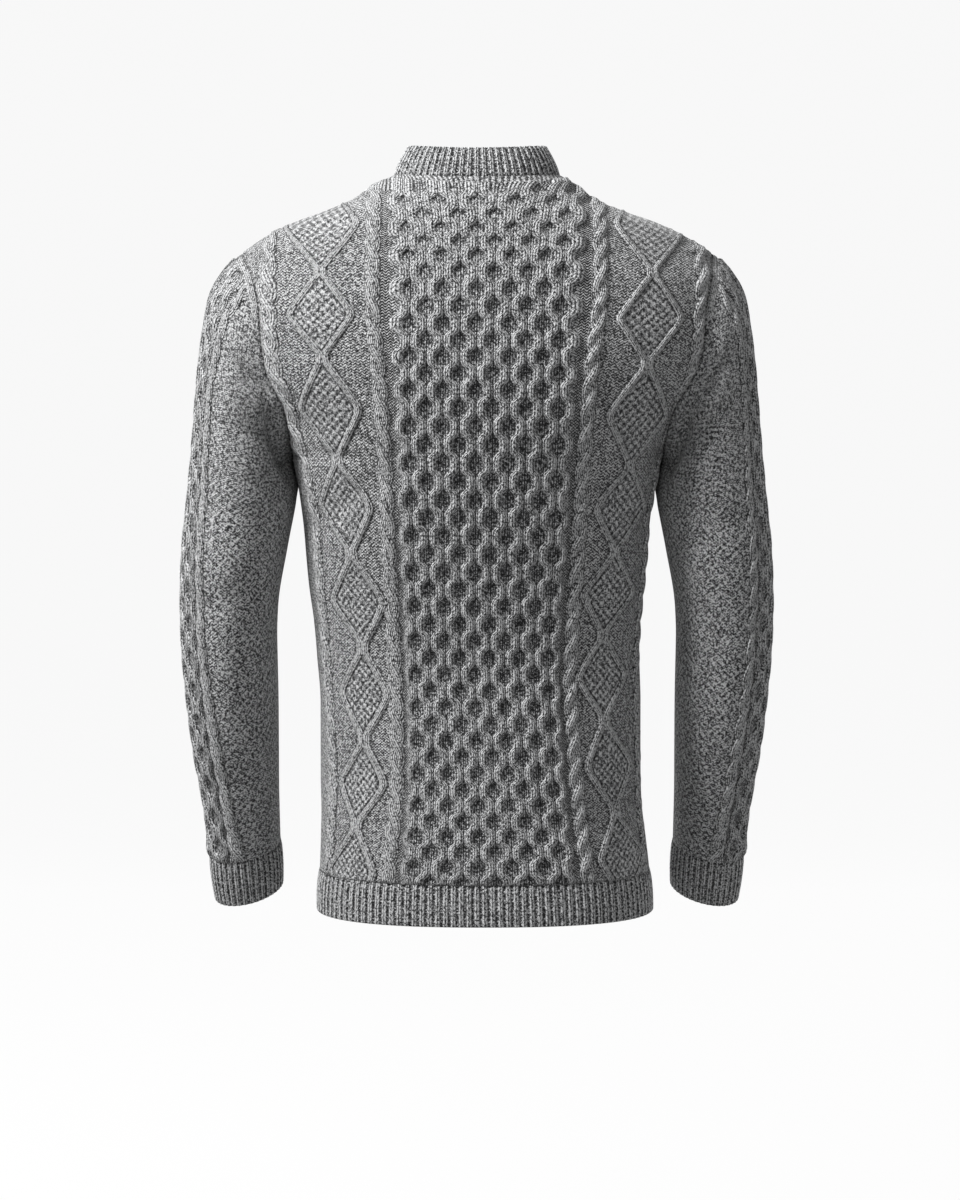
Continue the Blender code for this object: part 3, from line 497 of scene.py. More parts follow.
class Shell:
    """A closed thin shell: points with what the wool reads from them, and faces with a map."""

    def __init__(self):
        self.points = []
        self.knit = []
        self.cable = []
        self.count = 0
        self.faces = []
        self.places = []

    def add(self, points, knit, cable):
        shape = points.shape[:-1]
        total = int(np.prod(shape))
        self.points.append(points.reshape(-1, 3))
        self.knit.append(np.broadcast_to(knit, points.shape).reshape(-1, 3))
        self.cable.append(np.broadcast_to(cable, points.shape).reshape(-1, 3))
        ids = np.arange(self.count, self.count + total).reshape(shape)
        self.count += total
        return ids

    def cover(self, ids, rect, closed=False):
        """Quads over a grid. rect is its place on the map: left, low, right, high."""
        rows, columns = ids.shape
        if closed:
            ids = np.concatenate([ids, ids[:, :1]], axis=1)
            columns += 1
        left, low, right, high = rect
        u, v = np.meshgrid(np.linspace(left, right, columns), np.linspace(high, low, rows))
        place = np.stack([u, v], axis=-1)
        corners = ((0, 0), (0, 1), (1, 1), (1, 0))
        quads = []
        maps = []
        for r, c in corners:
            take = (slice(r, rows - 1 + r), slice(c, columns - 1 + c))
            quads.append(ids[take].reshape(-1))
            maps.append(place[take].reshape(-1, 2))
        self.faces += np.stack(quads, axis=1).tolist()
        self.places.append(np.stack(maps, axis=1).reshape(-1, 2))

    def join(self, first, second, rect):
        """Triangles between two lines of points, whose numbers may differ."""
        left, low, right, high = rect
        i = j = 0
        place = []
        n, m = len(first) - 1, len(second) - 1
        while i < n or j < m:
            a = (left + (right - left) * i / n, low)
            b = (left + (right - left) * j / m, high)
            if j == m or (i < n and (i + 1) / n <= (j + 1) / m):
                self.faces.append([first[i], first[i + 1], second[j]])
                place += [a, (left + (right - left) * (i + 1) / n, low), b]
                i += 1
            else:
                self.faces.append([first[i], second[j + 1], second[j]])
                place += [a, (left + (right - left) * (j + 1) / m, high), b]
                j += 1
        self.places.append(np.array(place))

    def finish(self, name, material, node):
        """Makes the object, and has it stand for its solid."""
        mesh = bpy.data.meshes.new(name)
        points = np.concatenate(self.points) * MM
        mesh.from_pydata(points.tolist(), [], self.faces)
        layer = mesh.uv_layers.new(name="OFBake")
        layer.data.foreach_set("uv", np.concatenate(self.places).astype(np.float32).reshape(-1))
        for title, rows in (("knit", self.knit), ("cable", self.cable)):
            attribute = mesh.attributes.new(title, "FLOAT_VECTOR", "POINT")
            values = np.concatenate(rows).astype(np.float32).reshape(-1)
            attribute.data.foreach_set("vector", values)
        work = bmesh.new()
        work.from_mesh(mesh)
        bmesh.ops.recalc_face_normals(work, faces=work.faces)
        work.to_mesh(mesh)
        work.free()
        mesh.shade_smooth()
        mesh.materials.append(material)
        made = in_scene(name, mesh)
        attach(made, "root")
        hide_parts(node)
        return made


def looped(line):
    """A line that ends where it starts."""
    return np.append(line, line[0])


def grid_normals(points, sign, closed=False):
    if closed:
        wrapped = np.concatenate([points[:, -1:], points, points[:, :1]], axis=1)
        along = np.gradient(wrapped, axis=1)[:, 1:-1]
    else:
        along = np.gradient(points, axis=1)
    return sign * unit(np.cross(along, np.gradient(points, axis=0)))


def steps(points, axis):
    """How far each point lies from the first one, along a row or a column."""
    length = np.linalg.norm(np.diff(points, axis=axis), axis=-1)
    start = np.zeros_like(np.take(length, [0], axis=axis))
    return np.concatenate([start, np.cumsum(length, axis=axis)], axis=axis)


def distance_to(points, line):
    """How far each point lies from the nearest point of a line."""
    tree = KDTree(len(line))
    for i, point in enumerate(line):
        tree.insert(point, i)
    tree.balance()
    flat = [tree.find(point)[2] for point in points.reshape(-1, 3)]
    return np.array(flat).reshape(points.shape[:-1])


# Soft creases: a trough (negative) or ridge (positive) across each line, in the piece's own sizes.
# across and down are its middle, lean its turn from level in degrees, long and wide half its sizes.
PANEL_FOLDS = """
face  across down lean long wide high
back  120 -300 -35 60 12 -2.5
back -122 -296  32 62 12 -2.4
back   96 -560  10 60 22 -2.0
back  -88 -590 -14 55 20 -1.8
back   10 -505   4 90 26  1.2
front 118 -290 -38 60 13 -2.6
front -116 -302 35 58 12 -2.4
front  60 -540  12 70 22 -2.0
front -74 -575 -10 60 20 -1.8
"""
SLEEVE_FOLDS = """
side  around down lean long wide high
left    92 250  24 50 12 -1.6
left    70 330 -12 48 14 -2.0
left   -80 214 -26 60 11 -3.2
left   -66 420  14 44 14 -1.8
left    48 500 -16 40 12 -1.5
right   90 262  22 48 12 -1.5
right   66 352 -10 46 14 -2.0
right  -82 206 -28 60 11 -3.0
right  -60 430  12 44 14 -1.8
right   52 486 -14 40 12 -1.6
"""

# Creases of the upper sleeves from the armhole outwards, by x from the middle and z
ARMPIT_FOLDS = """
sleeve   x0   z0  x1   z1 wide high
both    182 -207 240 -163    7 -4.2
both    186 -228 238 -190    8  2.0
both    184 -250 232 -224    8 -3.0
both    188 -275 226 -258    9  1.6
"""


def rows_of(table, which):
    """The numbers of the rows whose first word is which."""
    for line in table.strip().splitlines()[1:]:
        name, *numbers = line.split()
        if name == which:
            yield [float(number) for number in numbers]


def folds(table, which, across, down):
    total = 0.0 * across
    for x, z, lean, long, wide, high in rows_of(table, which):
        turn = math.radians(lean)
        u = (across - x) * math.cos(turn) + (down - z) * math.sin(turn)
        v = (down - z) * math.cos(turn) - (across - x) * math.sin(turn)
        total = total + high * np.exp(-((v / wide) ** 2) - (u / long) ** 4)
    return total


def panel_levels(count):
    """Levels of a panel's rows, closer on the slope of the shoulders."""
    top = int(count * 0.18)
    return np.concatenate(
        [
            np.linspace(NECK_POINT_Z, SHOULDER_Z, top, endpoint=False),
            np.linspace(SHOULDER_Z, HEM_SEAM_Z, count - top),
        ]
    )


def panel_skin(face, columns, rows):
    """x from the middle and z of the points of a panel, evenly spaced along each row."""
    levels = panel_levels(rows)
    share = np.linspace(0, 1, columns // 2 + 1)
    fine = np.sin(np.linspace(0, math.pi / 2, 241))
    x = EDGE("half", levels)[:, None] * fine
    y = skin_y(x, levels[:, None], face)
    length = steps(np.stack([x, y], axis=-1), 1)
    places = np.array([np.interp(share * l[-1], l, xs) for l, xs in zip(length, x)])
    drop = NECK_POINT_Z - neckline_height(places[0], face)
    fade = 1 - ease((NECK_POINT_Z - levels) / 198)
    z = levels[:, None] - drop[None] * fade[:, None]
    x = np.concatenate([-places[:, :0:-1], places], axis=1)
    z = np.concatenate([z[:, :0:-1], z], axis=1)
    return x, z


def panel_knitting(x, z, arc):
    """Stitches and courses over a panel, and how far each point is from the two ribs of its diamonds."""
    edge = PANEL_ZONES["edge"]
    rope_ends, side_ends = (zone[:2] for zone in PANEL_ZONES["ropes"])
    shift = MIDDLE("knitting", z) - MIDDLE("body", z)
    middle = x.shape[1] // 2
    stitches = np.zeros_like(x)
    rib_in = np.zeros_like(x)
    rib_out = np.zeros_like(x)
    for r in range(len(x)):
        at = z[r, middle + int(middle * 0.6)]

        def arc_at(place):
            inside = np.interp(place, x[r], arc[r])
            over = np.maximum(place - x[r, -1], 0) + np.minimum(place - x[r, 0], 0)
            return inside + 1.2 * over

        cell = LAYOUT("cell", at)
        rope = LAYOUT("rope", at)
        diamond = LAYOUT("diamond", at)
        line = LAYOUT("line", at)
        knots = np.array([edge * cell, rope - ROPE_HALF_WIDTH, rope + ROPE_HALF_WIDTH, line])
        numbers = np.array([0.0, ROPE_STITCHES * edge, *rope_ends, side_ends[0] - 0.3, *side_ends])
        start = arc_at(shift[r, middle])
        for side in (1, -1):
            half = slice(middle, None) if side > 0 else slice(None, middle)
            ends = np.array([arc_at(side * k + shift[r, middle]) for k in knots])
            ends = side * (ends - start)
            room = side * (arc[r, -1 if side > 0 else 0] - start) - ends[-1] - 0.3
            widest = SIDE_ROPE_WIDTH + ARMHOLE_ROPE_MORE * ease((at - UNDERARM_Z) / 20)
            widest = widest - SHOULDER_ROPE_LESS * ease((at + 125) / 40)
            rope_end = ends[-1] + max(min(widest, room), 1.5)
            ends = np.concatenate([[0.0], ends, [ends[-1] + 0.5, rope_end]])
            out = side * (arc[r, half] - start)
            beyond = np.maximum(out - rope_end, 0) / STITCH
            before = np.minimum(out, 0) / (cell / ROPE_STITCHES)
            stitches[r, half] = side * (np.interp(out, ends, numbers) + beyond + before)
            share = diamond_share(z[r, half], side)
            half_width = DIAMOND_SIZE * LAYOUT("half", at)
            half_width = half_width * (1 - np.sqrt((1 - share) ** 2 + 0.09**2))
            spread = np.maximum(CROSSED_RIBS * 0.6, half_width)
            own = shift[r, middle] + side * diamond
            rib_in[r, half] = side * (arc[r, half] - arc_at(own - side * spread))
            rib_out[r, half] = side * (arc[r, half] - arc_at(own + side * spread))
    return stitches, course_at(z), rib_in, rib_out


def eased_skin(x, z, face):
    """The skin of a panel, with the turn of the shoulder eased between the seams."""
    skin = skin_point(x, z, face)
    above, below = z + SHOULDER_SPAN, z - SHOULDER_SPAN
    clear = ease((EDGE("half", above) - np.abs(x)) / 25)
    clear = clear * ease((-38 - z) / 15) * ease((z + 118) / 15)
    eased = (skin_y(x, above, face) + skin_y(x, z, face) + skin_y(x, below, face)) / 3
    skin[..., 1] += (eased - skin[..., 1]) * clear
    return skin


def panel_out(x, z, face, skin, arc, top):
    """The ways out of a panel's cloth. Next to a seam they are the ones that the seam shares."""
    out = grid_normals(skin, 1 if face == "back" else -1)
    for side, column in ((1, -1), (-1, 0)):
        level = z[:, column]
        own = out[:, column].copy()
        own[:, 1] = 0
        hole = (level < SHOULDER_Z) & (level > UNDERARM_Z)
        own[hole] = armhole_out(side, level[hole], face)
        own = unit(own)
        near = 1 - ease(np.abs(arc - arc[:, [column]]) / 9)
        near = near[..., None] * (np.sign(x) == side)[..., None]
        out = unit(out * (1 - near) + own[:, None] * near)
    near_neck = (1 - ease(top / 7))[..., None]
    out = unit(out * (1 - near_neck) + neck_out(x[0], z[0], face)[None] * near_neck)
    near_hem = (1 - ease((z - HEM_SEAM_Z) / 8))[..., None]
    return unit(out * (1 - near_hem * (0, 0, 1)))


def fewer(count, step):
    """Every step-th number below count, and the last."""
    return np.unique(np.append(np.arange(0, count, step), count - 1))


def build_panel(face, columns, rows):
    x, z = panel_skin(face, columns, rows)
    skin = eased_skin(x, z, face)
    arc = steps(skin, 1)
    middle = x.shape[1] // 2
    arc = arc - arc[:, [middle]]
    top = steps(skin, 0)
    out = panel_out(x, z, face, skin, arc, top)
    stitches, courses, rib_in, rib_out = panel_knitting(x, z, arc)
    edge = distance_to(skin, np.concatenate([skin[:, 0], skin[:, -1]]))
    seam = np.minimum(edge / (6 + 9 * ease((z - SHOULDER_Z) / 10)), (z - HEM_SEAM_Z) / 6)
    press = SEAM_RELIEF + (1 - SEAM_RELIEF) * ease(seam)
    under_collar = 1 - ease((np.abs(x) - NECK_HALF_WIDTH) / 12)
    press = press * ease((top - 4 - 2 * under_collar) / 5)
    height = relief(PANEL_ZONES, stitches, courses, rib_in, rib_out) * press
    fold = folds(PANEL_FOLDS, face, x, z) * ease(np.minimum(edge / 25, top / 25))
    slope = ease((z - SHOULDER_Z) / 45) * ease(top / 20) * (1 - ease(edge / 45))
    fold = fold - SHOULDER_SINK * slope
    shell = Shell()
    plain = 1 - ease((top - 4 - 4 * under_collar) / 3)
    knit = np.stack([stitches, courses, plain], axis=-1)
    cable = np.stack([rib_in, rib_out, np.minimum(edge, 30)], axis=-1)
    outer = shell.add(skin + out * (height + fold)[..., None], knit, cable)
    take = np.ix_(fewer(len(x), 5), fewer(x.shape[1], 4))
    inside = (skin - out * (WALL - fold[..., None]))[take]
    knit_in = knit[take] * (1, 1, 0) + (0, 0, 1)
    inner = shell.add(inside, knit_in, cable[take])
    shell.cover(outer, (0.004, 0.004, 0.66, 0.97))
    shell.cover(inner, (0.68, 0.30, 0.996, 0.97))
    for low, line in ((0.01, (0,)), (0.03, (-1,)), (0.05, (..., 0)), (0.07, (..., -1))):
        shell.join(outer[line], inner[line], (0.68, low, 0.99, low + 0.01))
    return shell.finish(f"{face}_cloth", WOOL["panel"], face)


def neck_loop(count):
    """The neckline from right to left along the back and home along the front."""
    swing = np.linspace(-math.pi / 2, math.pi / 2, 500)
    x = NECK_HALF_WIDTH * np.sin(swing)
    back = skin_point(x, neckline_height(x, "back"), "back")
    front = skin_point(x, neckline_height(x, "front"), "front")[::-1]
    for line in (back, front):
        line[(0, -1), 1] = 0  # the two meet at the side
    loop = np.concatenate([back, front[1:]])
    way = steps(loop[None], 1)[0]
    at = np.linspace(0, way[-1], count, endpoint=False)
    return np.stack([np.interp(at, way, loop[:, i]) for i in range(3)], axis=-1), way[-1]


def collar_top(points):
    """The free edge of the collar above points of the neckline."""
    top = points.copy()
    top[..., 0] *= COLLAR_NARROWING
    top[..., 1] = NECK_AXIS_Y + (points[..., 1] - NECK_AXIS_Y) * COLLAR_NARROWING
    top[..., 2] += COLLAR_HEIGHT
    return top


def collar_out(points, tangent):
    out = unit(np.cross(tangent, collar_top(points) - points))
    away = (points - (0, NECK_AXIS_Y, 0)) * (1, 1, 0)
    return out * np.sign(np.sum(out * away, axis=-1, keepdims=True))


def neck_out(x, z, face):
    """The way out of the cloth along the neckline, shared by the panels and the collar."""
    points = skin_point(x, z, face)
    tangent = unit(np.gradient(points, axis=0))
    x = np.clip(x, 2 - NECK_HALF_WIDTH, NECK_HALF_WIDTH - 2)
    body = skin_normal(x, neckline_height(x, face), face)
    out = unit(body + collar_out(points, tangent))
    return unit(out - tangent * np.sum(out * tangent, axis=-1, keepdims=True))


def bump_at(x, middle, below, above):
    """A bump of height 1, with its own half width on either side of its middle."""
    wide = np.where(x < middle, below, above)
    return np.exp(-(((x - middle) / wide) ** 2))


def armpit_folds(x, z):
    total = 0.0 * x
    for x0, z0, x1, z1, wide, high in rows_of(ARMPIT_FOLDS, "both"):
        long = math.hypot(x1 - x0, z1 - z0)
        u = ((x - x0) * (x1 - x0) + (z - z0) * (z1 - z0)) / long
        v = ((x - x0) * (z1 - z0) - (z - z0) * (x1 - x0)) / long
        window = ease(u / 12) * (1 - ease((u - long + 24) / 24))
        total = total + high * np.exp(-((v / wide) ** 2)) * window
    return total


# Under the arm: height, middle and the half widths before and after it. The first goes by distance
# from the seam, the others by run.
SUNK_BESIDE_SEAM = (-9.0, 17, 9, 15)
SWOLLEN_INNER = (3.0, 190, 130, 80)
SWOLLEN_FRONT = (5.2, 140, 95, 55)
SUNK_FROM_Z = -190.0


def underarm_folds(angle, run, away, seam_z):
    """The sleeve sinks beside the lower armhole, and its inner side swells towards the body."""
    lean = np.abs(np.sin(angle))
    sunk = ease((SUNK_FROM_Z - seam_z) / 30) * ease((lean - 0.25) / 0.3)
    inner = ease((-np.cos(angle) - 0.6) / 0.35)
    front = bump_at(angle, -2.7, 0.35, 0.45)
    total = 0.0
    for (high, *bump), x, share in (
        (SUNK_BESIDE_SEAM, away, sunk),
        (SWOLLEN_INNER, run, inner),
        (SWOLLEN_FRONT, run, front),
    ):
        total = total + high * bump_at(x, *bump) * share
    return total * ease(away / 12)


def sleeve_knitting(angle, run, arc):
    """Stitches round a sleeve from its outer line, by angle up to the rope and by length past it."""
    honey = np.radians(SLEEVE_LAYOUT("honeycomb", run))[:, None]
    end = np.radians(SLEEVE_LAYOUT("rope_end", run))[:, None]
    start = honey + 0.2 * (end - honey)
    across = np.abs(angle)[None]
    stitches = 12 * across / honey
    stitches = np.where(across > honey, 12 + 2 * (across - honey) / (start - honey), stitches)
    stitches = np.where(across > start, 14 + 4 * (across - start) / (end - start), stitches)
    arc_end = np.array(
        [[np.interp(s * e, angle, row) for s in (-1, 1)] for e, row in zip(end[:, 0], arc)]
    )
    beyond = np.where(angle[None] > 0, arc - arc_end[:, 1:], arc_end[:, :1] - arc)
    stitches = np.where(across > end, 18 + beyond / STITCH, stitches)
    sunk = 1 - ease((across - honey) / (end - honey))
    return stitches * np.where(angle >= 0, 1, -1)[None], sunk


def build_sleeve(side, columns, rows):
    name = "left" if side > 0 else "right"
    angle = np.arange(columns) * TURN / columns
    angle = (angle + math.pi) % TURN - math.pi
    angle = np.roll(angle, columns // 2)
    run = np.linspace(0, SLEEVE_SEAM_RUN, rows)
    skin = sleeve_point(side, angle[None, :], run[:, None])
    out = grid_normals(skin, 1, closed=True)
    centre = skin.mean(axis=1, keepdims=True)
    if np.sum(out[rows // 2] * (skin - centre)[rows // 2]) < 0:
        out = -out
    away = steps(skin, 0)
    own = np.zeros((columns, 3))
    back = angle >= 0
    own[back] = armhole_out(side, skin[0, back, 2], "back")
    own[~back] = armhole_out(side, skin[0, ~back, 2], "front")
    near = (1 - ease(away / 9))[..., None]
    out = unit(out * (1 - near) + own[None] * near)
    arc = steps(skin, 1)
    arc = arc - arc[:, [int(np.argmin(np.abs(angle)))]]
    stitches, sunk = sleeve_knitting(angle, run, arc)
    courses = run[:, None] / SLEEVE_COURSE + FIRST_SLEEVE_COURSE + 0 * stitches
    far = 0 * stitches + 99
    left = SLEEVE_SEAM_RUN - run[:, None] + 0 * stitches
    seam = np.minimum(away / 6, left / 6)
    press = SEAM_RELIEF + (1 - SEAM_RELIEF) * ease(seam)
    height = relief(SLEEVE_ZONES, stitches, courses, far, far) * press
    seam_z = skin[:1, :, 2] + 0 * away
    piped = ease((seam_z - PIPING_END) / 25)
    piping = PIPING * ridge(away - PIPING_MIDDLE, PIPING_HALF) * piped
    height = np.maximum(height * ease((away - 6 * piped) / 4), piping)
    fold = folds(SLEEVE_FOLDS, name, arc, run[:, None])
    fold = fold - SLEEVE_SINK * sunk
    fold = fold * ease(np.minimum(away, left) / 30)
    fold = fold + underarm_folds(angle[None], run[:, None], away, seam_z)
    fold = fold + armpit_folds(side * skin[..., 0], skin[..., 2]) * ease(away / 10)
    shell = Shell()
    knit = np.stack([stitches, courses, 0 * stitches], axis=-1)
    cable = np.stack([away + 20 * (1 - piped), far, np.minimum(away, 30)], axis=-1)
    outer = shell.add(skin + out * (height + fold)[..., None], knit, cable)
    take = np.ix_(fewer(rows, 5), np.arange(0, columns, 4))
    inside = (skin - out * (WALL - fold[..., None]))[take]
    inner = shell.add(inside, knit[take] + (0, 0, 1), cable[take])
    shell.cover(outer, (0.004, 0.004, 0.60, 0.97), closed=True)
    shell.cover(inner, (0.64, 0.20, 0.996, 0.97), closed=True)
    for row, low in ((0, 0.01), (-1, 0.05)):
        shell.join(looped(outer[row]), looped(inner[row]), (0.64, low, 0.99, low + 0.02))
    return shell.finish(f"sleeve_{name}_cloth", WOOL["sleeve"], f"sleeve_{name}")


def rib_band(name, node, base, top, base_out, top_out, pitch_phase, closed, rows):
    """A band of ribs from its seam to its free edge, which is folded over and rounded."""
    length = float(np.linalg.norm(top - base, axis=-1).mean())
    turn = np.linspace(0, math.pi, 7)[1:-1]
    share = WALL / 2 / length
    v = [np.linspace(0, 1 - share, rows)]
    depth = [np.zeros(rows)]
    v.append(1 - share + share * np.sin(turn))
    depth.append(WALL / 2 * (1 - np.cos(turn)))
    inner_rows = 8
    v.append(np.linspace(1 - share, 0, inner_rows))
    depth.append(np.full(inner_rows, WALL))
    v = np.concatenate(v)[:, None]
    depth = np.concatenate(depth)[:, None]
    out = unit(base_out[None] * (1 - v[..., None]) + top_out[None] * v[..., None])
    wave = 0.5 + 0.5 * np.cos(TURN * pitch_phase)[None]
    outside = 1 - 1.7 * depth / WALL
    press = 0.45 + 0.55 * ease(v * length / 6)
    ribs = COLLAR_RIB * wave**0.6 + COLLAR_FURROW
    height = ribs * np.where(depth > 0, outside, 1.0) * press
    bulge = 0.9 * np.sin(math.pi * v)
    points = base[None] + (top - base)[None] * v[..., None]
    points = points + out * (height + bulge - depth)[..., None]
    shell = Shell()
    courses = v * length / COURSE
    knit = np.stack(np.broadcast_arrays(pitch_phase[None], courses, 0 * courses), axis=-1)
    cable = np.stack(np.broadcast_arrays(0 * courses, 0 * courses, ease(v * length / 3)), axis=-1)
    ids = shell.add(points, knit, cable)
    shell.cover(ids, (0.004, 0.05, 0.996, 0.45), closed)
    if closed:
        shell.join(looped(ids[0]), looped(ids[-1]), (0.004, 0.01, 0.996, 0.03))
    else:
        shell.join(ids[0], ids[-1], (0.004, 0.01, 0.996, 0.03))
        middle = rows + len(turn) // 2
        for column, low in ((0, 0.50), (-1, 0.55)):
            first = ids[: middle + 1, column]
            second = ids[: middle - 1 : -1, column]
            shell.join(first, second, (0.004, low, 0.3, low + 0.03))
    return shell.finish(name, WOOL["rib"], node)


def build_collar():
    """The collar's ribs go all round, and its way out at the neckline is the panels' own."""
    loop, way = neck_loop(200)
    ribs = round(way / COLLAR_RIB_PITCH)
    loop, way = neck_loop(ribs * POINTS_PER_RIB)
    tangent = unit(np.roll(loop, -1, axis=0) - np.roll(loop, 1, axis=0))
    swing = np.linspace(-math.pi / 2, math.pi / 2, 500)
    x = NECK_HALF_WIDTH * np.sin(swing)
    known = {}
    for face in ("back", "front"):
        known[face] = neck_out(x, neckline_height(x, face), face)
    out = np.zeros_like(loop)
    for i, point in enumerate(loop):
        face = "back" if point[1] >= 0 else "front"
        local = point[0] - MIDDLE("body", point[2])
        out[i] = [np.interp(local, x, known[face][:, k]) for k in range(3)]
    out = unit(out)
    top = collar_top(loop)
    top_out = collar_out(loop, tangent)
    phase = np.arange(len(loop)) / POINTS_PER_RIB
    return rib_band("collar_cloth", "collar_rib", loop, top, out, top_out, phase, True, 26)


def level_line(z, face, ribs):
    """Points round a level line of a panel, the ways out there, and its length."""
    fine = np.sin(np.linspace(-math.pi / 2, math.pi / 2, 601))
    x = EDGE("half", z) * fine
    line = skin_point(x, np.full_like(x, z), face)
    line[(0, -1), 1] = 0
    way = steps(line[None], 1)[0]
    at = np.linspace(0, way[-1], ribs * POINTS_PER_RIB + 1)
    points = np.stack([np.interp(at, way, line[:, i]) for i in range(3)], axis=-1)
    tangent = unit(np.gradient(points, axis=0))
    sign = 1 if face == "back" else -1
    out = sign * np.stack([-tangent[:, 1], tangent[:, 0], 0 * at], axis=-1)
    out[0] = (-1, 0, 0)
    out[-1] = (1, 0, 0)
    return points, unit(out), way[-1]


def build_hem(face):
    way = level_line(HEM_SEAM_Z, face, 10)[2]
    ribs = round(way / HEM_RIB_PITCH)
    base, base_out, _ = level_line(HEM_SEAM_Z, face, ribs)
    top, top_out, _ = level_line(HEM_Z, face, ribs)
    phase = np.arange(len(base)) / POINTS_PER_RIB
    name = f"hem_{face}_cloth"
    return rib_band(name, f"hem_rib_{face}", base, top, base_out, top_out, phase, False, 24)


def build_cuff(side):
    name = "left" if side > 0 else "right"
    fine = np.linspace(0, TURN, 721)
    ring = sleeve_point(side, fine, np.full_like(fine, SLEEVE_SEAM_RUN))
    way = steps(ring[None], 1)[0]
    ribs = round(way[-1] / CUFF_RIB_PITCH)
    at = np.arange(ribs * POINTS_PER_RIB) * way[-1] / (ribs * POINTS_PER_RIB)
    angle = np.interp(at, way, fine)
    lines = []
    for run in (SLEEVE_SEAM_RUN, CUFF_RUN):
        points = sleeve_point(side, angle, np.full_like(angle, run))
        _, across, deep = sleeve_ring(side, run)
        axis = np.cross(across, deep)
        tangent = np.roll(points, -1, axis=0) - np.roll(points, 1, axis=0)
        out = unit(np.cross(tangent, axis))
        middle = points.mean(axis=0)
        out *= np.sign(np.sum(out * (points - middle), axis=-1, keepdims=True))
        lines.append((points, out))
    (base, base_out), (top, top_out) = lines
    phase = np.arange(len(base)) / POINTS_PER_RIB
    title = f"cuff_{name}_cloth"
    return rib_band(title, f"cuff_rib_{name}", base, top, base_out, top_out, phase, True, 26)


# Wool


class Value:
    """A number in a material: sums with it become shader nodes."""

    def __init__(self, tree, socket):
        self.tree = tree
        self.socket = socket

    def sum(self, operation, *others):
        node = self.tree.nodes.new("ShaderNodeMath")
        node.operation = operation
        for socket, value in zip(node.inputs, (self,) + others):
            if isinstance(value, Value):
                self.tree.links.new(value.socket, socket)
            else:
                socket.default_value = float(value)
        return Value(self.tree, node.outputs[0])

    def __neg__(self):
        return self * -1.0

    def __rsub__(self, other):
        return -self + other

    def clear(self):
        return self.most(0.0).least(1.0)

    def step(self, low, high):
        """0 below low, 1 above high, and straight between them."""
        return ((self - low) / (high - low)).clear()


def operation_of(name):
    return lambda value, *others: value.sum(name, *others)


OPERATIONS = {
    "__add__": "ADD",
    "__radd__": "ADD",
    "__sub__": "SUBTRACT",
    "__mul__": "MULTIPLY",
    "__rmul__": "MULTIPLY",
    "__truediv__": "DIVIDE",
    "__pow__": "POWER",
    "abs": "ABSOLUTE",
    "floor": "FLOOR",
    "part": "FRACT",
    "sin": "SINE",
    "cos": "COSINE",
    "sign": "SIGN",
    "most": "MAXIMUM",
    "least": "MINIMUM",
    "over": "GREATER_THAN",  # 1 where this is more than the other, else 0
}
for title, operation in OPERATIONS.items():
    setattr(Value, title, operation_of(operation))


def blend(share, low, high):
    """low where share is 0, high where it is 1. Either may be a plain number."""
    return share * high + (1.0 - share) * low


def knit_stitch(across, courses):
    """One wale of stockinette for each unit across: light legs that lean into a V."""
    inside = (across.part() - 0.5).abs() * 2.0
    leg = (inside * math.pi).sin().most(0.0) ** 0.7
    lift = (courses + inside * 0.8).part()
    notch = (lift * math.pi).sin().most(0.0) ** 0.8
    return leg * (notch * 0.5 + 0.5)


def purl_stitch(across, courses, wave):
    """Fine wavy lines across, three for each two courses."""
    bend = (across * TURN).cos() * wave
    return ((courses * 1.5 + bend) * TURN).cos() * 0.5 + 0.5


def moss_stitch(across, courses):
    """Light knots set out like a chessboard."""
    odd = ((across.floor() + courses.floor()) * 0.5).part() * 2.0
    u = across.part() - 0.5
    v = courses.part() - 0.5
    knot = (1.0 - (u * u * 3.4 + v * v * 5.0)).clear()
    return (odd * 2.0 - 1.0) * knot * 0.36 + 0.5


def strands(place, courses, lean):
    """Across the upper strand of a rope, -1 to 1, and how high it stands, with painted shade at its
    edges.
    """
    phase = courses * (math.pi / 6)
    middle = phase.cos() * (0.5 * lean)
    rise = phase.sin()
    half = rise * rise * 0.16 + 0.52
    first = (place - middle) / half
    second = (place + middle) / half
    high = (rise + 2.0) * (1.0 - first * first).clear() ** 0.5
    low = (2.0 - rise) * (1.0 - second * second).clear() ** 0.5
    place = blend(high.over(low), second, first)
    # Painted shade: the strand is darker towards its edges, where it meets the other strand
    edge = 1.0 - place.abs().least(1.0) ** 4.0 * 0.7
    return place, (high.most(low) / 3.0) ** 0.6 * edge


# Each of the next three gives detail, how light the stitches are, and depth, how far out the wool
# lies. Both run from 0 to 1. Depth raises the bump and also darkens the colour where the wool lies
# low, as painted shade in the recesses.


def rib_wool(stitches, courses):
    off = (stitches + 0.5).part() - 0.5
    on_rib = 1.0 - off.abs().step(0.33, 0.39)
    ground = purl_stitch(stitches, courses, 0.1) * 0.4 + 0.1
    detail = blend(on_rib, ground, knit_stitch(off / 0.7 + 0.5, courses))
    # The furrows between the ribs are painted darker: painted shade, also a dip in the bump
    depth = 0.72 - off.abs().step(0.30, 0.46) * 0.25
    return detail, depth * (courses.step(0.1, 0.7) * 0.7 + 0.3)


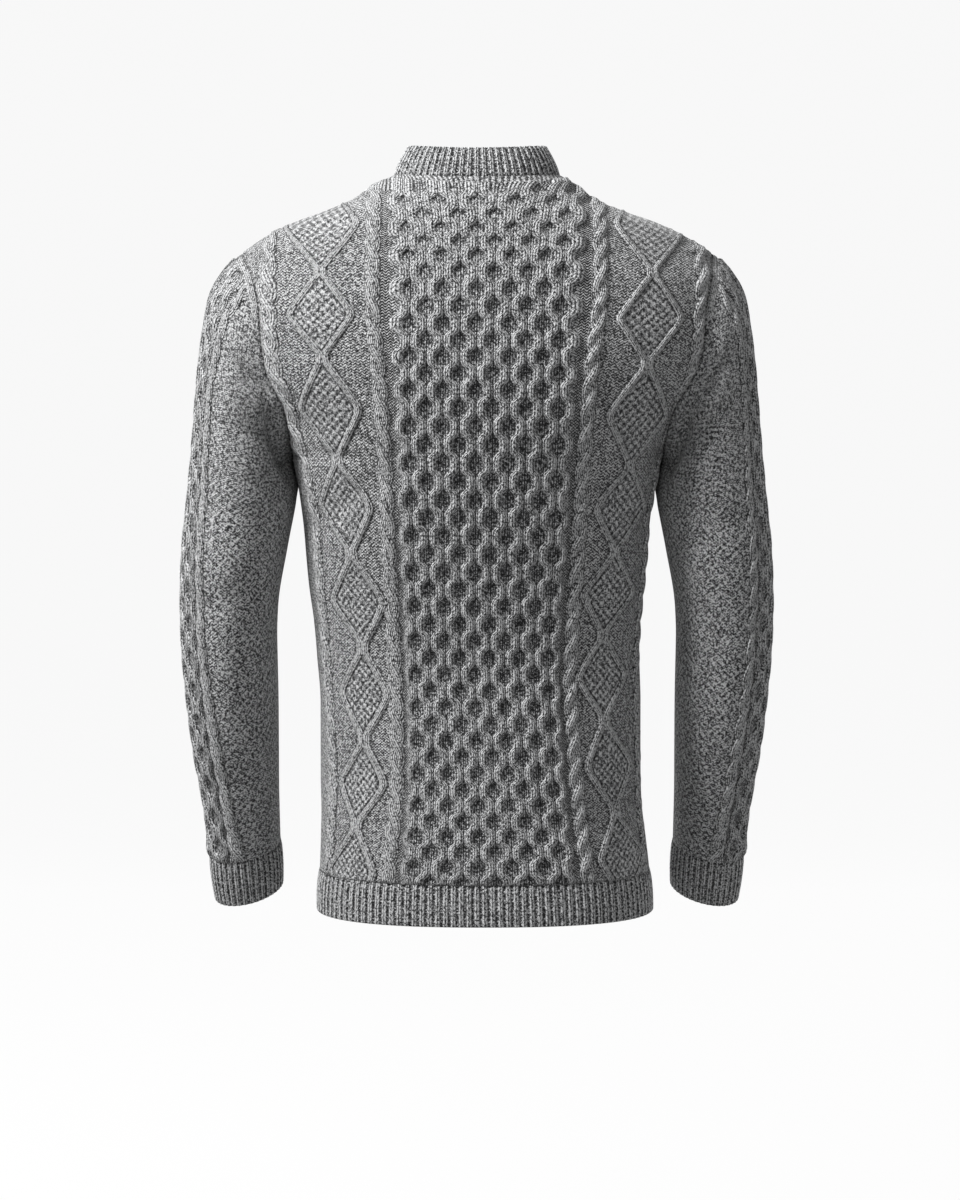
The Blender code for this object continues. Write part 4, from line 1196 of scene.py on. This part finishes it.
def honeycomb_wool(stitches, courses, zones):
    """Follows the rules of honeycomb(), and gives first where it is."""
    edge = zones["edge"]
    across = stitches.abs()
    column = stitches / ROPE_STITCHES
    whole = column.floor()
    odd = (whole * 0.5).part() * 2.0
    flip = odd * 2.0 - 1.0
    angle = courses * (TURN / COURSES_PER_CELL)
    near = 1.0 - courses.step(3.0, 33.0)
    late = near * (SHUT_AT_COLLAR - SHUT) + SHUT
    turn = angle.cos() * flip + late
    turn = turn / (late * turn.sign() + 1.0)
    square = turn * turn
    swing = turn * (square * square * 0.375 - square * 1.25 + 1.875)
    place = column - whole
    inner = 1.0 - column.abs().over(edge)
    place = blend(inner, column.abs() - edge, place.least(1.0 - place))
    off = (place - swing * SWING) / (near * (WIDER_AT_COLLAR * ROPE_HALF) + ROPE_HALF)
    on_rope = 1.0 - off.abs().step(0.96, 1.04)
    where = 1.0 - across.step(ROPE_STITCHES * (edge + 0.02), ROPE_STITCHES * (edge + 0.04))
    where = where.most(on_rope * (1.0 - across.over(ROPE_STITCHES * (edge + 0.5))))

    # Painted shade on the cells' floors: dark, darkest in the upper part of each cell and lighter
    # towards its lower part. Next to the collar the floors are painted light except in their upper part,
    # and less dark there where calm keeps the cells filled.
    upper = angle.sin() * flip
    shade = upper.clear().step(0.0, 0.35) * (1.0 - zones["calm"])
    floor_depth_and_shade = (1.0 - shade) * near.step(0.1, 0.8)
    floor_depth_and_shade = floor_depth_and_shade * 0.62 + (-upper).clear() * 0.3
    # The ropes are painted darker towards their edges: painted shade, also a slope of the bump
    rope_depth_and_shade = 0.80 - off.abs().least(1.0) ** 4.0 * 0.6
    floor_detail = knit_stitch((0.5 - place) / ROPE_HALF, courses) * 0.8
    # Dark dots run down the lines where ropes meet, and down the middle of each cell: painted shade in
    # the gaps, also small dents in the bump
    line = (0.25 - place).abs().step(0.205, 0.24) * inner
    dots = line * ((courses * TURN).cos() * 0.5 + 0.5)
    detail = blend(on_rope, floor_detail, knit_stitch(off, courses)) * (1.0 - dots * 0.8)
    depth = blend(on_rope, floor_depth_and_shade, rope_depth_and_shade) * (1.0 - dots * 0.85)
    return where, detail, depth


def cable_wool(kind, stitches, courses, rib_in, rib_out, seam):
    """For a panel or a sleeve. Gives last how strongly the flecks of the yarn show."""
    zones = PANEL_ZONES if kind == "panel" else SLEEVE_ZONES
    across = stitches.abs()
    purl = purl_stitch(across, courses, 0.3)
    moss = moss_stitch(across, courses)
    flecks = FLECKS
    ground = purl * 0.66 + 0.17 if kind == "panel" else moss * 0.6 + purl * 0.4 + 0.05
    gutter = purl_stitch(across, courses, 0.4) * 1.5 - 0.25
    first_rope = zones["ropes"][0][0]
    in_gutter = across.step(first_rope - 1.9, first_rope - 1.6)
    in_gutter = in_gutter * (1.0 - across.step(first_rope - 0.1, first_rope))
    detail = blend(in_gutter, ground, gutter)
    # The gutter is set low: painted shade between the raised cables, also a dip in the bump
    depth = blend(in_gutter, 0.6, 0.1)
    # The honeycomb's depth also carries its painted shade
    where, honey, honey_depth_and_shade = honeycomb_wool(stitches, courses, zones)
    detail = blend(where, detail, honey)
    depth = blend(where, depth, honey_depth_and_shade)
    for start, end, lean in zones["ropes"]:
        on = across.over(start) * (1.0 - across.over(end))
        local, height = strands((across - start) * (2.0 / (end - start)) - 1.0, courses, lean)
        detail = blend(on, detail, knit_stitch(local + 1.0, courses))
        depth = blend(on, depth, height)
    if kind == "panel":
        rib_off = blend(rib_out.abs().over(rib_in.abs()), rib_out, rib_in)
        ribs = rib_off.abs() / RIB_HALF
        in_moss = rib_in.step(3.4, 3.8) * (-rib_out).step(3.4, 3.8)
        detail = blend(in_moss, detail, moss)
        flecks = blend(in_moss, FLECKS, MOSS_FLECKS)
        on_rib = 1.0 - ribs.step(0.96, 1.04)
        detail = blend(on_rib, detail, knit_stitch(rib_off / RIB_HALF + 1.0, courses))
        # Painted shadow: a dark line just outside each rib, also a dip in the bump; the ribs are painted
        # darker towards their edges as shade.
        groove_and_shadow = 1.0 - (ribs - 1.18).abs().step(0.16, 0.34)
        depth = blend(groove_and_shadow, depth, 0.05)
        depth = blend(on_rib, depth, 1.0 - ribs.least(1.0) ** 3.0 * 0.5)
    else:
        off = rib_in - PIPING_MIDDLE
        on_piping = 1.0 - off.abs().step(3.4, 3.9)
        detail = blend(on_piping, detail, knit_stitch(off / PIPING_HALF, across))
        depth = blend(on_piping, depth, 0.85)
    line = 1.0 - seam.step(0.8, 2.0)
    return detail, depth * (1.0 - line * 0.8), flecks


# How strongly the knit and its flecks change the shade of the wool, and its colours. The share of
# depth is painted shade: the lower the wool lies, the darker its colour.
DETAIL_SHADE = 1.05
DEPTH_PAINTED_SHADE = 0.45
FIBRES = 2.9
FLECKS = 3.4
MOSS_FLECKS = 2.5
PATCHES = 0.15
SHADES = {0.0: (0.012, 0.012, 0.013), 0.5: (0.165, 0.167, 0.170), 1.0: (0.60, 0.605, 0.61)}
INSIDE_DEPTH = 0.68


def wool(name, kind):
    material = bpy.data.materials.new(name)
    material.use_nodes = True
    tree = material.node_tree
    nodes = tree.nodes
    links = tree.links
    coordinates = nodes.new("ShaderNodeTexCoord")

    def attribute(title):
        node = nodes.new("ShaderNodeAttribute")
        node.attribute_name = title
        split = nodes.new("ShaderNodeSeparateXYZ")
        links.new(node.outputs["Vector"], split.inputs[0])
        return [Value(tree, socket) for socket in split.outputs]

    def noise(scale, detail, rough):
        node = nodes.new("ShaderNodeTexNoise")
        node.inputs["Scale"].default_value = scale
        node.inputs["Detail"].default_value = detail
        node.inputs["Roughness"].default_value = rough
        links.new(coordinates.outputs["Object"], node.inputs["Vector"])
        return Value(tree, node.outputs["Fac"])

    stitches, courses, inside = attribute("knit")
    rib_in, rib_out, seam = attribute("cable")
    courses = courses + (noise(160.0, 1.0, 0.5) - 0.5) * 0.22
    if kind == "rib":
        flecks = FLECKS
        detail, depth = rib_wool(stitches, courses)
    else:
        detail, depth, flecks = cable_wool(kind, stitches, courses, rib_in, rib_out, seam)
    detail = blend(inside, detail, purl_stitch(stitches.abs(), courses, 0.25) * 0.8)
    depth = blend(inside, depth, INSIDE_DEPTH)

    fibre = noise(900.0, 3.0, 0.65) - 0.5
    marl = noise(480.0, 1.5, 0.6) - 0.5
    broad = noise(38.0, 2.0, 0.5) - 0.5
    # Painted shade: where depth is low, in gaps, furrows and beside crossings, the colour is darker
    shade = (detail - 0.5) * DETAIL_SHADE + (depth - 0.6) * DEPTH_PAINTED_SHADE + 0.5
    shade = shade + fibre * FIBRES + marl * flecks + broad * PATCHES
    ramp = nodes.new("ShaderNodeValToRGB")
    ends = ramp.color_ramp.elements
    ends.new(0.5)
    for element, (position, colour) in zip(ends, SHADES.items()):
        element.position = position
        element.color = (*colour, 1)
    links.new(shade.clear().socket, ramp.inputs["Fac"])
    bump = nodes.new("ShaderNodeBump")
    bump.inputs["Strength"].default_value = 1.0
    bump.inputs["Distance"].default_value = MM
    relief_mm = detail * 1.1 + depth * 1.8 + fibre * 0.6
    links.new(relief_mm.socket, bump.inputs["Height"])
    shader = nodes["Principled BSDF"]
    links.new(ramp.outputs["Color"], shader.inputs["Base Color"])
    links.new(bump.outputs["Normal"], shader.inputs["Normal"])
    shader.inputs["Roughness"].default_value = 0.92
    shader.inputs["Specular IOR Level"].default_value = 0.25
    shader.inputs["Sheen Weight"].default_value = 0.25
    shader.inputs["Sheen Roughness"].default_value = 0.5
    return material


WOOL = {kind: wool(f"{kind}_wool_knit", kind) for kind in ("panel", "sleeve", "rib")}


def paint_solids():
    """The solids are hidden, and still have the wool's colour."""
    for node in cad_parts.values():
        kind = "rib" if "rib" in node.name else "panel"
        node.data.materials.clear()
        node.data.materials.append(WOOL[kind])


# The stage, in metres

FLOOR = ((-0.95, -1.25), (-3.4, -1.25))  # y and z of the ends of the level part of the sweep
COVE_RADIUS = 1.6
WALL_TOP = (-5.0, 5.0)
SWEEP_HALF_WIDTH = 5.0
SWEEP_GLOW = 0.89
SKY_GLOW = 0.40
LIGHTS = (
    ("key", (1.70, 0.86, 1.60), 0.7, 100.0),
    ("front_key", (1.5, -1.6, 1.1), 1.3, 22.0),
)
LIGHTS_AIM = (0, 0, -0.35)
CAMERA_PLACE = (-0.0018, 3.0, -0.15)
CAMERA_LENS = 97.1
CAMERA_TILT = 0.0812  # downwards


def set_stage():
    """A pale sweep below and behind, big soft lights and the camera."""
    floor_end, floor_z = FLOOR[1]
    cove = [
        (floor_end - COVE_RADIUS * math.sin(a), floor_z + COVE_RADIUS * (1 - math.cos(a)))
        for a in np.linspace(0.1, 1.57, 14)
    ]
    profile = [*FLOOR, *cove, WALL_TOP]
    points = [(x, y, z) for y, z in profile for x in (-SWEEP_HALF_WIDTH, SWEEP_HALF_WIDTH)]
    faces = [(2 * i, 2 * i + 1, 2 * i + 3, 2 * i + 2) for i in range(len(profile) - 1)]
    mesh = bpy.data.meshes.new("backdrop")
    mesh.from_pydata(points, [], faces)
    mesh.shade_smooth()
    paper = bpy.data.materials.new("backdrop_white")
    paper.use_nodes = True
    shader = paper.node_tree.nodes["Principled BSDF"]
    shader.inputs["Base Color"].default_value = (0.05, 0.05, 0.05, 1)
    shader.inputs["Roughness"].default_value = 0.9
    shader.inputs["Emission Color"].default_value = (1, 1, 1, 1)
    shader.inputs["Emission Strength"].default_value = SWEEP_GLOW
    mesh.materials.append(paper)
    in_scene("backdrop", mesh)
    world = bpy.data.worlds.new("studio")
    world.use_nodes = True
    world.node_tree.nodes["Background"].inputs["Color"].default_value = (1, 1, 1, 1)
    world.node_tree.nodes["Background"].inputs["Strength"].default_value = SKY_GLOW
    bpy.context.scene.world = world
    for name, place, size, power in LIGHTS:
        light = bpy.data.lights.new(name, "AREA")
        light.size = size
        light.energy = power
        lamp = in_scene(name, light)
        lamp.location = place
        aim = Vector(LIGHTS_AIM) - Vector(place)
        lamp.rotation_euler = aim.to_track_quat("-Z", "Y").to_euler()
    camera = in_scene("camera", bpy.data.cameras.new("camera"))
    camera.data.lens = CAMERA_LENS
    camera.location = CAMERA_PLACE
    camera.rotation_euler = (math.pi / 2 - CAMERA_TILT, 0, math.pi)
    bpy.context.scene.camera = camera
    bpy.context.scene.view_settings.view_transform = "Standard"


back = build_panel("back", 240, 374)
front = build_panel("front", 200, 320)
sleeve_left = build_sleeve(1, 208, 330)
sleeve_right = build_sleeve(-1, 208, 330)
collar = build_collar()
hem_back = build_hem("back")
hem_front = build_hem("front")
cuff_left = build_cuff(1)
cuff_right = build_cuff(-1)

paint_solids()
set_stage()
